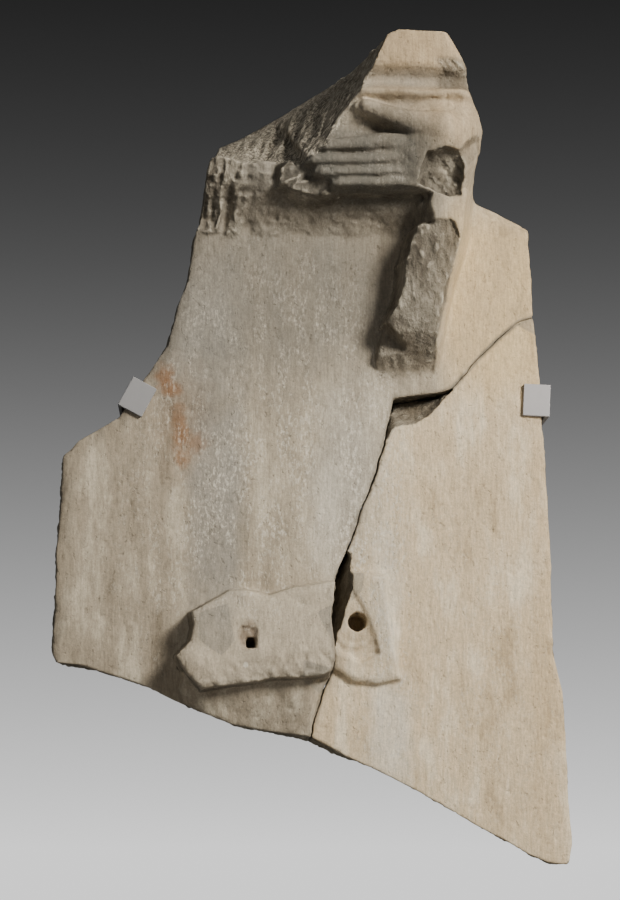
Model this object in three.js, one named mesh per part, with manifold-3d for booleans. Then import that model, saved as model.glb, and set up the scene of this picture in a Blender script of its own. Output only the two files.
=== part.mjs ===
// Broken stone relief panel: two rejoined fragments of a carved back slab, hung by two bent clips.
// Millimetres, +Z up, +X to the right. The wall is the plane y = 0 and the carved face looks to -Y.
import * as THREE from 'three';
import Module from 'manifold-3d';

const wasm = await Module();
wasm.setup();

// Stone. The carving keeps its proportions as thousandths of the height.
const stoneHeight = 1200;
const slabThickness = 120;
const edgeBulge = 4; // how far the broken sides swell between front and back
const crackGap = 2.4;

// How far each carved form stands out from the smooth face of the slab.
const coveRise = 58;
const blockRise = 105;
const handBed = 84; // the block's surface that the hand lies on
const fingerLift = 5; // axis of the fingers above the hand bed
const backSwell = 16; // back of the hand above the hand bed
const wristSwell = 28; // wrist above the hand bed
const palmHollow = 10; // hollow beside the thumb, below the hand bed
const stumpSink = 26; // broken forearm, below the hand bed
const ridgeRise = 74;
const bossRise = 60;
const skirtRise = 32; // rough slope under the boss
const scarRise = 12;

// Rounding and roughness.
const blockCorner = 12;
const wristCorner = 30;
const wornRough = 5; // how far worn surfaces stray
const tornRough = 10; // how far torn surfaces stray

// Old fixing holes.
const socketSide = 11.5;
const socketDepth = 46;
const socketWearDepth = 6;
const boreDiameter = 24;
const boreDepth = 55;

// Hanging clips, bent from flat bar.
const clipWidth = 46;
const clipReach = 38;
const clipThickness = 6;
const clipGap = 0.6;
const leftClipTurn = 28; // degrees from upright, along the sloping edge
const rightClipTurn = -3;

const unit = stoneHeight / 1000;
const highest = Math.max(blockRise, handBed + Math.max(wristSwell, backSwell));
const depthBehind = 40; // how far cutting bodies run past the stone
const footDepth = 30; // how deep a carved form is rooted in the slab
const pastOutline = (stoneHeight / unit) * 0.8; // thousandths of the height, beyond every side of the outline

// Outline of the stone seen from the front, in thousandths of its height, as [x, z].
const crackLine = [
  [267, 162], [250, 157], [226, 137], [203, 114], [178, 85], [169, 75], [156, 70], [126, 66], [100, 62],
  [96, 46], [91, 21], [81, -16], [70, -50], [58, -78], [48, -107], [42, -125], [31, -150], [23, -198],
  [26, -233], [28, -249], [21, -273], [13, -291], [5, -320], [1, -338],
];
const lowerLeftEdge = [
  [-45, -332], [-91, -324], [-128, -309], [-163, -294], [-188, -281], [-227, -268], [-268, -255], [-296, -252],
];
const leftEdge = [
  [-300, -243], [-297, -123], [-293, -49], [-291, -9], [-272, 10], [-227, 37], [-190, 94], [-171, 124],
  [-165, 146], [-147, 204], [-138, 250], [-128, 297], [-123, 330], [-112, 364],
];
const backOfBreak = [
  [-109, 394], [-83, 406], [-39, 432], [19, 468], [42, 483], [64, 499], [82, 513], [92, 520], [160, 521],
];
const behindBlock = [
  [178, 492], [178, 452], [184, 428], [185, 412], [193, 398], [199, 376], [199, 352], [194, 328], [192, 306],
];
const shoulderEdge = [[200, 306], [231, 289], [263, 271], [264, 233], [266, 184]];
const rightEdge = [
  [1, -338], [41, -359], [91, -383], [128, -402], [159, -420], [201, -444], [230, -458], [253, -472],
  [276, -482], [293, -483], [302, -479], [305, -462], [302, -410], [299, -341], [296, -283], [292, -265],
  [286, -236], [285, -189], [285, -141], [282, -82], [280, -28], [277, 28], [273, 89], [270, 129], [267, 162],
];

// Right side of the block from its top to the slab, with the wrist swelling out of it.
const blockSide = [
  [157, 488], [169, 475], [181, 452], [187, 430], [188, 415], [197, 401], [204, 376], [204, 352], [198, 328],
  [194, 300],
];

// Height of the block's front along z: hand bed, ledge above the thumb, hollow moulding, plain top.
const blockProfile = [
  [300, handBed * 0.9], [306, handBed], [396, handBed], [403, blockRise * 0.94], [411, blockRise * 0.95],
  [427, blockRise * 0.86], [438, blockRise * 0.86], [446, blockRise], [500, blockRise],
];

// The break across the top left: front edge [x, z, share of the block's rise] and back edge [x, z].
const breakStations = [
  [[-180, 336, 0.28], [-190, 372]],
  [[-112, 347, 0.33], [-109, 394]],
  [[-73, 338, 0.33], [-83, 406]],
  [[-34, 337, 0.4], [-39, 432]],
  [[-4, 337, 0.9], [-10, 450]],
  [[20, 355, 0.95], [19, 468]],
  [[35, 377, 0.95], [42, 483]],
  [[49, 404, 0.95], [53, 491]],
  [[63, 428, 0.95], [64, 499]],
  [[77, 459, 0.95], [82, 513]],
  [[88, 484, 1], [92, 521]],
  [[100, 490, 1], [106, 523]],
  [[157, 488, 1], [160, 522]],
  [[230, 470, 0.86], [250, 500]],
];

// Fingers and thumb from the tip to where they merge in the hand, as [x, z, height above the fingers'
// axis, radius], all in thousandths.
const digits = {
  index: [
    [9, 350, -2, 4.5], [14, 351, 0, 6.6], [38, 352, 0, 7.5], [61, 353, 1, 9], [84, 355, 1, 10], [112, 352, -4, 11],
  ],
  middle: [
    [-4, 334, -2, 4.5], [1, 334, 0, 6.6], [26, 334, 0, 7], [52, 334, 1, 7.5], [84, 336, 1, 8.5], [112, 336, -4, 9],
  ],
  ring: [
    [5, 320, -3, 4], [10, 320, -1, 5.6], [34, 320, -1, 6], [60, 320, 0, 6.4], [86, 322, 0, 7], [110, 324, -4, 8],
  ],
  little: [
    [26, 307, -4, 3.6], [31, 307, -3, 4.8], [52, 308, -3, 5], [75, 308, -2, 5.4], [92, 310, -2, 6], [112, 314, -5, 7],
  ],
  thumb: [
    [52, 398, 1, 5.5], [57, 397, 2, 7.6], [70, 394, 2, 8.2], [86, 388, 2, 9], [103, 381, 2, 11], [142, 368, 0, 18],
  ],
};

// Broken forearm ridge, as [z, left x, right x, share of its rise] from the top down.
const ridgeStations = [
  [312, 126, 186, 0.98], [290, 126, 182, 1], [262, 124, 179, 1], [239, 119, 174, 1], [216, 113, 167, 0.97],
  [195, 109, 160, 0.96], [163, 100, 153, 0.92], [136, 90, 149, 0.66], [112, 84, 147, 0.42], [90, 80, 148, 0.02],
];

const bossFace = [
  [-136, -190], [-99, -173], [-61, -175], [-28, -171], [44, -160], [44, -240], [20, -268], [-14, -273],
  [-45, -273], [-85, -280], [-129, -285], [-147, -266], [-155, -247], [-134, -230], [-136, -211],
];
const socketCentre = [-70, -232];
const socketWear = [[-82, -214], [-64, -214], [-63, -238], [-81, -238]];
const boreCentre = [55, -204];
const lowScar = [[10, -147], [89, -150], [96, -190], [102, -244], [105, -267], [51, -273], [10, -262]];

// Chips lost along the crack, all on the right of it, as [station, near edge, far edge].
const lowChip = [
  [-122, 40, 44], [-130, 38, 53], [-147, 32, 56], [-152, 30, 66], [-160, 27, 63], [-174, 23, 55],
  [-186, 21, 50], [-200, 20, 40], [-233, 22, 27],
];
const highChip = [[93, 56, 14], [101, 64, 27], [125, 68, 32], [146, 71, 47], [170, 77, 73]];
const chipDepth = 42;

// Where the clips grip the edges.
const leftClipPlace = [-205, 62];
const rightClipPlace = [270, 61];

// Repeatable irregularity between -0.5 and 0.5, for broken surfaces.
function wobble(i, j) {
  const wave = Math.sin(i * 12.9898 + j * 78.233) * 43758.5453;
  return wave - Math.floor(wave) - 0.5;
}

// A point given in thousandths of the height across and up, and in millimetres out of the slab's face.
function at(x, z, height = 0) {
  return new THREE.Vector3(x * unit, -(slabThickness + height), z * unit);
}

function mix(a, b, share) {
  return a + (b - a) * share;
}

// Value read off a list of [position, value] pairs, joined by straight lines.
function along(pairs, position) {
  const rising = pairs[0][0] < pairs[pairs.length - 1][0];
  const ordered = rising ? pairs : [...pairs].reverse();
  const next = Math.max(1, ordered.findIndex(([place]) => place >= position));
  const [before, after] = position > ordered[ordered.length - 1][0]
    ? [ordered[ordered.length - 2], ordered[ordered.length - 1]]
    : [ordered[next - 1], ordered[next]];
  const share = THREE.MathUtils.clamp((position - before[0]) / (after[0] - before[0]), 0, 1);
  return mix(before[1], after[1], share);
}

// A closed solid from vertices and triangles, turned so that its faces point out.
function solidFrom(points, triangles) {
  let volume = 0;
  for (const [a, b, c] of triangles) {
    volume += points[a].dot(new THREE.Vector3().crossVectors(points[b], points[c]));
  }
  const facing = volume < 0 ? triangles.map(([a, b, c]) => [a, c, b]) : triangles;
  const vertProperties = Float32Array.from(points.flatMap((point) => [point.x, point.y, point.z]));
  const triVerts = Uint32Array.from(facing.flat());
  return new wasm.Manifold(new wasm.Mesh({ numProp: 3, vertProperties, triVerts }));
}

// Triangles over a flat ring of points, wound the way the ring runs.
function capOf(ring, across, up) {
  const contour = ring.map((point) => new THREE.Vector2(point[across], point[up]));
  const faces = THREE.ShapeUtils.triangulateShape(contour, []);
  const [a, b, c] = faces[0].map((index) => contour[index]);
  const turn = (b.x - a.x) * (c.y - a.y) - (b.y - a.y) * (c.x - a.x);
  const agrees = turn > 0 === THREE.ShapeUtils.area(contour) > 0;
  return agrees ? faces : faces.map(([p, q, r]) => [p, r, q]);
}

// A solid skinned over rings of equally many points; the caps are flattened on the two named axes.
function loft(rings, across = 'x', up = 'z') {
  const count = rings[0].length;
  const triangles = [];
  for (let i = 0; i < rings.length - 1; i += 1) {
    for (let j = 0; j < count; j += 1) {
      const a = i * count + j;
      const b = i * count + ((j + 1) % count);
      triangles.push([a, b, b + count], [a, b + count, a + count]);
    }
  }
  const last = (rings.length - 1) * count;
  for (const [p, q, r] of capOf(rings[0], across, up)) triangles.push([p, r, q]);
  for (const [p, q, r] of capOf(rings[rings.length - 1], across, up)) triangles.push([last + p, last + q, last + r]);
  return solidFrom(rings.flat(), triangles);
}

// A straight-sided body over an outline, between two heights.
function prism(outline, low, high) {
  return loft([low, high].map((height) => outline.map(([x, z]) => at(x, z, height))));
}

// A carved patch: its front is surface(u, v) = [x, z, height] and its foot is flat inside the slab.
function patch(columns, rows, surface, foot = -footDepth) {
  const points = [];
  const triangles = [];
  const size = (columns + 1) * (rows + 1);
  const skins = [(x, z, height) => at(x, z, height), (x, z) => at(x, z, foot)];
  for (const skin of skins) {
    for (let i = 0; i <= columns; i += 1) {
      for (let j = 0; j <= rows; j += 1) points.push(skin(...surface(i / columns, j / rows)));
    }
  }
  const index = (i, j) => i * (rows + 1) + j;
  for (let i = 0; i < columns; i += 1) {
    for (let j = 0; j < rows; j += 1) {
      const [a, b, c, d] = [index(i, j), index(i + 1, j), index(i + 1, j + 1), index(i, j + 1)];
      triangles.push([a, b, c], [a, c, d], [size + a, size + c, size + b], [size + a, size + d, size + c]);
    }
  }
  const border = [];
  for (let i = 0; i < columns; i += 1) border.push(index(i, 0));
  for (let j = 0; j < rows; j += 1) border.push(index(columns, j));
  for (let i = columns; i > 0; i -= 1) border.push(index(i, rows));
  for (let j = rows; j > 0; j -= 1) border.push(index(0, j));
  border.forEach((a, k) => {
    const b = border[(k + 1) % border.length];
    triangles.push([a, size + b, b], [a, size + a, size + b]);
  });
  return solidFrom(points, triangles);
}

// A rounded limb along a path of [x, z, height, radius].
function limb(path, sides = 10) {
  const centres = path.map(([x, z, height]) => at(x, z, handBed + fingerLift + height * unit));
  const rings = centres.map((centre, i) => {
    const ahead = centres[Math.min(i + 1, centres.length - 1)];
    const behind = centres[Math.max(i - 1, 0)];
    const forward = ahead.clone().sub(behind).normalize();
    const outward = new THREE.Vector3(0, -1, 0).cross(forward).normalize();
    const front = forward.clone().cross(outward);
    return Array.from({ length: sides }, (_, k) => {
      const angle = (2 * Math.PI * k) / sides;
      const spoke = outward.clone().multiplyScalar(Math.cos(angle)).addScaledVector(front, Math.sin(angle));
      return centre.clone().addScaledVector(spoke, path[i][3] * unit);
    });
  });
  return loft(rings, 'y', 'z');
}

// The outline pushed out sideways by a distance in millimetres that depends on the point.
function swell(outline, distanceAt) {
  const count = outline.length;
  const turn = Math.sign(THREE.ShapeUtils.area(outline.map(([x, z]) => new THREE.Vector2(x, z))));
  return outline.map(([x, z], i) => {
    const before = outline[(i + count - 1) % count];
    const after = outline[(i + 1) % count];
    const run = new THREE.Vector2(after[0] - before[0], after[1] - before[1]).normalize();
    const distance = (distanceAt(i) * turn) / unit;
    return [x + run.y * distance, z - run.x * distance];
  });
}

// A slab over an outline whose broken sides swell and whose front and back edges are worn.
function brokenSlab(outline) {
  const sideProfile = [[-1, -1.6], [-0.72, 0.3], [-0.35, 0.5], [-0.06, 0.1], [0, -0.7]];
  return loft(sideProfile.map(([depth, swelling], level) => {
    const distanceAt = (i) => edgeBulge * (swelling + 0.5 * wobble(i, level));
    return swell(outline, distanceAt).map(([x, z]) => at(x, z, depth * slabThickness));
  }));
}

// Everything on one side of the crack, as a body that runs past the stone.
function sideOfCrack(towards) {
  const shifted = crackLine.map(([x, z], i) => {
    const before = crackLine[Math.max(i - 1, 0)];
    const after = crackLine[Math.min(i + 1, crackLine.length - 1)];
    const run = new THREE.Vector2(after[0] - before[0], after[1] - before[1]).normalize();
    const distance = (towards * crackGap) / 2 / unit;
    return [x + run.y * distance, z - run.x * distance];
  });
  const start = shifted[0];
  const end = shifted[shifted.length - 1];
  const first = [start[0] + 150, start[1] + 45];
  const last = [end[0] - 30, end[1] - 200];
  const side = -towards * pastOutline;
  const corners = [[side, -pastOutline], [side, pastOutline], [first[0], pastOutline]];
  const region = [first, ...shifted, last, ...corners];
  return prism(region, -slabThickness - depthBehind, highest + depthBehind);
}

// The body beyond the break across the top left, taken off the stone.
function topBreak() {
  const away = [-180, 470];
  const front = highest + depthBehind;
  const back = -slabThickness - depthBehind;
  const shares = [0.25, 0.5, 0.75];
  const rings = breakStations.map(([[fx, fz, rise], [bx, bz]], i) => {
    const height = blockRise * rise;
    const between = shares.map((share, j) => {
      const rough = (tornRough / unit) * wobble(i, j + 1);
      return at(mix(fx, bx, share), mix(fz, bz, share) + rough, mix(height, -slabThickness, share));
    });
    return [
      at(fx, fz, front), at(fx, fz, height), ...between, at(bx, bz, -slabThickness), at(bx, bz, back),
      at(bx + away[0], bz + away[1], back), at(fx + away[0], fz + away[1], front),
    ];
  });
  return loft(rings, 'y', 'z');
}

// Rough hollow band between the smooth slab and the block, curling outwards as it rises.
function cove() {
  const [foot, brow] = [252, 346];
  return patch(22, 8, (u, v) => {
    const x = mix(-150, 186, u);
    const z = mix(foot, brow, v);
    const reach = THREE.MathUtils.smoothstep(x, -120, 10);
    const curl = 1 - Math.cos(Math.min(1, v / 0.62) * Math.PI * 0.5);
    const rough = v > 0.05 ? wobble(Math.round(u * 22), Math.round(v * 8)) : -0.4;
    return [x, z, coveRise * mix(0.6, 1, reach) * curl + wornRough * rough];
  });
}

// A rounded swelling of the surface, 1 at its centre.
function mound(x, z, centre, spread) {
  return Math.exp(-(((x - centre[0]) / spread[0]) ** 2) - ((z - centre[1]) / spread[1]) ** 2);
}

// Block at the top: flat front, moulding and ledge above the hand, the hand's back and the wrist.
function block() {
  const [bottom, top] = [302, 500];
  return patch(22, 28, (u, v) => {
    const z = mix(bottom, top, v);
    const left = mix(-6, 60, THREE.MathUtils.smoothstep(z, 400, 500));
    const right = along(blockSide.map(([x, height]) => [height, x]), z);
    const wrist = Math.exp(-(((z - 362) / 42) ** 2));
    const corner = mix(blockCorner, wristCorner, wrist) / unit;
    const turn = THREE.MathUtils.clamp((u - 0.8) / 0.2, 0, 1) * Math.PI * 0.5;
    const x = u < 0.8 ? mix(left, right - corner, u / 0.8) : right - corner + corner * Math.sin(turn);
    const swelling = wristSwell * mound(x, z, [163, 365], [46, 33]) + backSwell * mound(x, z, [107, 335], [28, 30]);
    const hollow = palmHollow * mound(x, z, [92, 375], [30, 10]);
    const height = along(blockProfile, z) + swelling - hollow;
    return [x, z, height - corner * unit * 1.3 * (1 - Math.cos(turn))];
  }, -slabThickness + edgeBulge * 3);
}

// Where the forearm broke off under the wrist: a slanting facet cut out of the block.
function forearmBreak() {
  const facet = [[135, 335], [153, 341], [172, 339], [176, 322], [174, 292], [158, 290], [144, 296], [128, 308]];
  const slope = (z) => mix(handBed - stumpSink, handBed + wristSwell / 2, (z - 296) / 45);
  return loft([
    facet.map(([x, z]) => at(x, z, slope(z))),
    facet.map(([x, z]) => at(x, z, highest + depthBehind)),
  ]);
}

// Broken lump left of the fingertips.
function fingertipLump() {
  const lump = [[-36, 312], [-34, 327], [-22, 338], [2, 342], [16, 330], [14, 300], [-8, 303], [-24, 304]];
  const levels = [[-footDepth, 1], [handBed * 0.6, 1], [handBed * 0.85, 0.7]];
  return loft(levels.map(([height, share]) => lump.map(([x, z], i) => {
    const rough = share < 1 ? tornRough * wobble(i, 5) : 0;
    return at(mix(-4, x, share), mix(320, z, share), height + rough);
  })));
}

// Broken forearm ridge: steep left side, rough front, smooth bevel on the right.
function ridge() {
  return loft(ridgeStations.map(([z, left, right, share], i) => {
    const rise = ridgeRise * share;
    const section = [
      [left - 6, -footDepth], [left - 6, 0], [left - 1, rise * 0.8], [left + 6, rise * 0.95],
      [mix(left, right, 0.5), rise + wornRough * wobble(i, 3)], [right - 6, rise], [right, rise * 0.93],
      [right + 15, 0], [right + 15, -footDepth],
    ];
    return section.map(([x, height]) => at(x, z, height));
  }), 'x', 'y');
}

// Low boss at the foot of the slab: worn front, steep rough sides.
function boss() {
  const levels = [
    [-footDepth, 1.07, 0], [0.07 * bossRise, 1.07, 4], [0.8 * bossRise, 1.015, 3], [bossRise, 0.985, 0],
  ];
  return loft(levels.map(([height, spread, rough], level) => bossFace.map(([x, z], i) => {
    const tilt = height > 0.7 * bossRise ? 0.06 * (-228 - z) : 0;
    return at(mix(40, x, spread) + rough * wobble(i, level), mix(-228, z, spread), height + tilt);
  })));
}

// Rough slope below the boss, down to the broken lower edge of the slab.
function bossSkirt() {
  const lower = [[-170, -296], [-128, -315], [-91, -330], [1, -346], [60, -380]];
  const upper = [[-170, -262], [-129, -276], [-14, -266], [60, -268]];
  return patch(12, 4, (u, v) => {
    const x = mix(-158, 34, u);
    const z = mix(along(lower, x), along(upper, x), v);
    const side = THREE.MathUtils.smoothstep(x, -158, -146) * (1 - THREE.MathUtils.smoothstep(x, 0, 34));
    const rough = wornRough * (wobble(Math.round(u * 12), Math.round(v * 4)) - 0.4);
    return [x, z, side * skirtRise * mix(0.4, 1, v) + rough];
  });
}

// Low worn remainder of the boss right of the crack.
function lowScarRelief() {
  const centre = [60, -210];
  const levels = [[-footDepth, 1.04], [0.1 * scarRise, 1.04], [scarRise, 0.96]];
  return loft(levels.map(([height, spread]) => lowScar.map(([x, z]) => (
    at(mix(centre[0], x, spread), mix(centre[1], z, spread), height)
  ))));
}

// A straight square or round hole into a face that stands at a height.
function hole(sides, radius, centre, height, depth) {
  const rim = Array.from({ length: sides }, (_, k) => {
    const angle = (2 * Math.PI * (k + 0.5)) / sides;
    return [centre[0] + (radius * Math.cos(angle)) / unit, centre[1] + (radius * Math.sin(angle)) / unit];
  });
  return prism(rim, height - depth, height + depthBehind);
}

// A chipped edge along the crack: a bevel from its depth at the near edge up to the face at the far edge.
function chip(stations, place, across, up) {
  return loft(stations.map(([station, near, far]) => {
    const past = near + 4 * Math.sign(near - far);
    const section = [
      [past, -chipDepth], [near, -chipDepth], [mix(near, far, 0.45), -0.7 * chipDepth], [far, 0],
      [far, scarRise + depthBehind], [past, scarRise + depthBehind],
    ];
    return section.map(([side, height]) => place(station, side, height));
  }), across, up);
}

// How far the outline reaches towards a direction, within a strip across it.
function reachOf(outline, centre, out, halfWidth) {
  const along2 = new THREE.Vector2(-out.y, out.x);
  let reach = -Infinity;
  outline.forEach((point, i) => {
    const next = outline[(i + 1) % outline.length];
    for (let step = 0; step <= 20; step += 1) {
      const place = new THREE.Vector2(mix(point[0], next[0], step / 20), mix(point[1], next[1], step / 20));
      place.multiplyScalar(unit).sub(centre);
      const beyond = place.dot(out);
      if (Math.abs(place.dot(along2)) <= halfWidth && beyond > reach) reach = beyond;
    }
  });
  return reach;
}

// A clip: a bar along the stone's side from the wall, bent over its front face.
function clipShape(outline, [x, z], turnDegrees, side) {
  const turn = THREE.MathUtils.degToRad(turnDegrees);
  const out = new THREE.Vector2(side * Math.cos(turn), Math.sin(turn));
  const centre = new THREE.Vector2(x * unit, z * unit);
  const inner = reachOf(outline, centre, out, clipWidth / 2) + edgeBulge + clipGap;
  const outer = inner + clipThickness;
  const face = slabThickness + clipGap;
  const bend = new THREE.Shape();
  bend.moveTo(inner, 0);
  bend.lineTo(outer, 0);
  bend.lineTo(outer, face + clipThickness);
  bend.lineTo(outer - clipReach, face + clipThickness);
  bend.lineTo(outer - clipReach, face);
  bend.lineTo(inner, face);
  bend.closePath();
  const bar = new THREE.ExtrudeGeometry(bend, { depth: clipWidth, bevelEnabled: false, curveSegments: 1 });
  bar.translate(0, 0, -clipWidth / 2);
  const outward = new THREE.Vector3(out.x, 0, out.y);
  const forward = new THREE.Vector3(0, -1, 0);
  const basis = new THREE.Matrix4().makeBasis(outward, forward, outward.clone().cross(forward));
  basis.setPosition(centre.x, 0, centre.y);
  return bar.applyMatrix4(basis);
}

// The stone as one piece, before the crack parts it.
const wholeOutline = [
  ...rightEdge.slice(1, -1), crackLine[0], ...shoulderEdge.toReversed(), ...behindBlock.toReversed(),
  ...backOfBreak.toReversed(), ...leftEdge.toReversed(), ...lowerLeftEdge.toReversed(), crackLine.at(-1),
];
const leftOfCrack = sideOfCrack(1);
const rightOfCrack = sideOfCrack(-1);
const faceOutline = prism(swell(wholeOutline, () => -0.5 * edgeBulge), -footDepth * 2, highest);

let stone = brokenSlab(wholeOutline).add(cove().intersect(faceOutline)).add(block()).add(ridge());
stone = stone.subtract(topBreak()).add(fingertipLump());
for (const path of Object.values(digits)) stone = stone.add(limb(path));
stone = stone.subtract(forearmBreak());
stone = stone.add(boss().add(bossSkirt()).intersect(faceOutline).intersect(leftOfCrack));
stone = stone.add(lowScarRelief().intersect(rightOfCrack));
stone = stone.subtract(hole(4, socketSide / Math.SQRT2, socketCentre, bossRise, socketDepth));
stone = stone.subtract(prism(socketWear, bossRise - socketWearDepth, bossRise + depthBehind));
stone = stone.subtract(hole(24, boreDiameter / 2, boreCentre, scarRise, boreDepth));

const upperLeft = stone.intersect(leftOfCrack);
const lowerRight = stone.intersect(rightOfCrack)
  .subtract(chip(lowChip, (z, x, height) => at(x, z, height), 'x', 'y'))
  .subtract(chip(highChip, (x, z, height) => at(x, z, height), 'y', 'z'));

// A geometry with flat faces from a solid.
function geometryOf(solid) {
  const mesh = solid.getMesh();
  const geometry = new THREE.BufferGeometry();
  geometry.setAttribute('position', new THREE.BufferAttribute(Float32Array.from(mesh.vertProperties), 3));
  geometry.setIndex([...mesh.triVerts]);
  return geometry;
}

function addPiece(group, name, geometry, material) {
  const piece = new THREE.Mesh(geometry, material);
  piece.name = name;
  group.add(piece);
}

const limestone = new THREE.MeshStandardMaterial({ color: 0xa39a8a, roughness: 0.9, metalness: 0 });
const warmLimestone = new THREE.MeshStandardMaterial({ color: 0xb5a791, roughness: 0.9, metalness: 0 });
const darkPaint = new THREE.MeshStandardMaterial({ color: 0x979695, roughness: 0.5, metalness: 0 });
const palePaint = new THREE.MeshStandardMaterial({ color: 0xb7b1b0, roughness: 0.5, metalness: 0 });

const panel = new THREE.Group();
addPiece(panel, 'upper_left_fragment', geometryOf(upperLeft), limestone);
addPiece(panel, 'lower_right_fragment', geometryOf(lowerRight), warmLimestone);
addPiece(panel, 'left_clip', clipShape(wholeOutline, leftClipPlace, leftClipTurn, -1), darkPaint);
addPiece(panel, 'right_clip', clipShape(wholeOutline, rightClipPlace, rightClipTurn, 1), palePaint);

export default panel;
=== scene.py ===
import math
import time

import bpy
import numpy as np
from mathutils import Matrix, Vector


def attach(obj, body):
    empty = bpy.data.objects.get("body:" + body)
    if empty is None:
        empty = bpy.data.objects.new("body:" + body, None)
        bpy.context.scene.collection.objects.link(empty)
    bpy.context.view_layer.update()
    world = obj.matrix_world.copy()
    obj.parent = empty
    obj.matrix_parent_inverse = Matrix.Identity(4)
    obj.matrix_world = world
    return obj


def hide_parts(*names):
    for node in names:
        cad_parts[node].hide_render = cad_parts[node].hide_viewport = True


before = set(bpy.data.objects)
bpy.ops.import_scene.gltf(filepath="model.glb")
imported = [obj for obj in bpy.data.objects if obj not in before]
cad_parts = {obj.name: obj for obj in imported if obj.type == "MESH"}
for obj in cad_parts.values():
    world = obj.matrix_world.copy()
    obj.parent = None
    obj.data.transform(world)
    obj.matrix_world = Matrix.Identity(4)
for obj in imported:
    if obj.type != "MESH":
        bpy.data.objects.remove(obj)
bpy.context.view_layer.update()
startTime = time.time()


def stage(words):
    print("%5.1f s  %s" % (time.time() - startTime, words))


# The stone is worked out in millimetres: x across, z up and a height out of the slab's smooth face.
# Outlines are in thousandths of the stone's height, as in the construction.
stone = {
    "height": 1200.0,
    "thickness": 120.0,
    "crackGap": 1.8,
    "filledGap": 0.35,     # where the crack is filled
    "rowStep": 2.0,        # spacing of the first surface
    "lowRowStep": 0.8,     # the same along the sloping lower edge
    "voxel": 1.9,          # spacing after the surface is evened out
    "edgeSwell": 3.0,      # how far the broken sides bulge
    "edgeWear": 1.8,       # how far the front edge is rubbed down
    "lowSlant": 30.0,      # how far the lower sides slant inwards to the back
    "columns": 340,        # points across the front, the sides and the back of each row
    "wallPoints": 26,
    "backPoints": 60,
}
unit = stone["height"] / 1000

crackLine = [
    (267, 162), (250, 157), (226, 137), (203, 114), (178, 85), (169, 75), (156, 70), (126, 66), (100, 62),
    (96, 46), (91, 21), (81, -16), (70, -50), (58, -78), (48, -107), (42, -125), (31, -150), (23, -198),
    (26, -233), (28, -249), (21, -273), (13, -291), (5, -320), (1, -338),
]
lowerLeftEdge = [
    (-45, -332), (-91, -324), (-128, -309), (-163, -294), (-188, -281), (-227, -268), (-268, -255),
    (-296, -252),
]
leftEdge = [
    (-300, -243), (-297, -123), (-293, -49), (-291, -9), (-272, 10), (-227, 37), (-190, 94), (-171, 124),
    (-165, 146), (-147, 204), (-138, 250), (-128, 297), (-123, 330), (-112, 364),
]
backOfBreak = [
    (-109, 394), (-83, 406), (-39, 432), (19, 468), (42, 483), (64, 499), (82, 513), (92, 520),
]
blockSide = [
    (193, 306), (194, 328), (200, 352), (204, 376), (197, 401), (188, 415), (187, 430), (181, 452),
    (169, 475), (160, 490), (157, 521),
]
shoulderEdge = [(266, 184), (264, 233), (263, 271), (231, 289)]
lowerRightEdge = [
    (41, -359), (91, -383), (128, -402), (159, -420), (201, -444), (230, -458), (253, -472), (276, -482),
    (290, -484),
]
rightEdge = [
    (298, -484), (302, -479), (305, -462), (302, -410), (299, -341), (296, -283), (292, -265),
    (286, -236), (285, -189), (285, -141), (282, -82), (280, -28), (277, 28), (273, 89), (270, 129),
    (267, 162),
]


# Outline points turned from thousandths of the stone's height into millimetres.
def inMillimetres(points):
    return np.array(points, float) * unit


# Lattice noise: each whole-number corner has its own value from mixed bits, blended smoothly between them.
def cornerValue(ix, iy, iz, seed):
    n = ix * np.uint32(73856093) ^ iy * np.uint32(19349663) ^ iz * np.uint32(83492791)
    n = (n ^ np.uint32(seed * 7919 + 12345)) * np.uint32(1274126177)
    n = (n ^ (n >> np.uint32(13))) * np.uint32(2246822519)
    return ((n ^ (n >> np.uint32(16))) & np.uint32(65535)).astype(np.float32) / 32767.5 - 1


def noise(x, y, z, seed):
    cells = [np.floor(v) for v in (x, y, z)]
    parts = [(v - c).astype(np.float32) for v, c in zip((x, y, z), cells)]
    fx, fy, fz = [p * p * (3 - 2 * p) for p in parts]
    ix, iy, iz = [c.astype(np.int64).astype(np.uint32) for c in cells]
    one = np.uint32(1)
    total = 0
    for dx in (0, 1):
        wx = fx if dx else 1 - fx
        for dy in (0, 1):
            wy = wx * (fy if dy else 1 - fy)
            for dz in (0, 1):
                weight = wy * (fz if dz else 1 - fz)
                total = total + weight * cornerValue(ix + one * dx, iy + one * dy, iz + one * dz, seed)
    return total


# Fractal noise: octaves of lattice noise, each half as wide and half as strong as the one before.
def fractal(x, y, z, size, octaves, seed, gain=0.5):
    total = 0
    strength = 1.0
    for octave in range(octaves):
        total = total + strength * noise(x / size, y / size, z / size, seed + octave)
        size = size * 0.5
        strength = strength * gain
    return total


# The same on the plane of the front, across and up.
def planeNoise(x, z, size, octaves, seed):
    return fractal(x, x * 0, z, size, octaves, seed)


# Smooth step: t squared times three less twice t, where t runs from 0 at low to 1 at high.
def step(low, high, value):
    t = np.clip((value - low) / (high - low), 0, 1)
    return t * t * (3 - 2 * t)


# Straight blend of two values by a share.
def mix(a, b, share):
    return a + (b - a) * share


# Smooth larger of two heights: half of their sum plus the root of their squared difference.
def raised(a, b, softness):
    return 0.5 * (a + b + np.sqrt((a - b) ** 2 + softness ** 2))


# Smooth smaller of two heights: half of their sum less the same root.
def lowered(a, b, softness):
    return 0.5 * (a + b - np.sqrt((a - b) ** 2 + softness ** 2))


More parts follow.
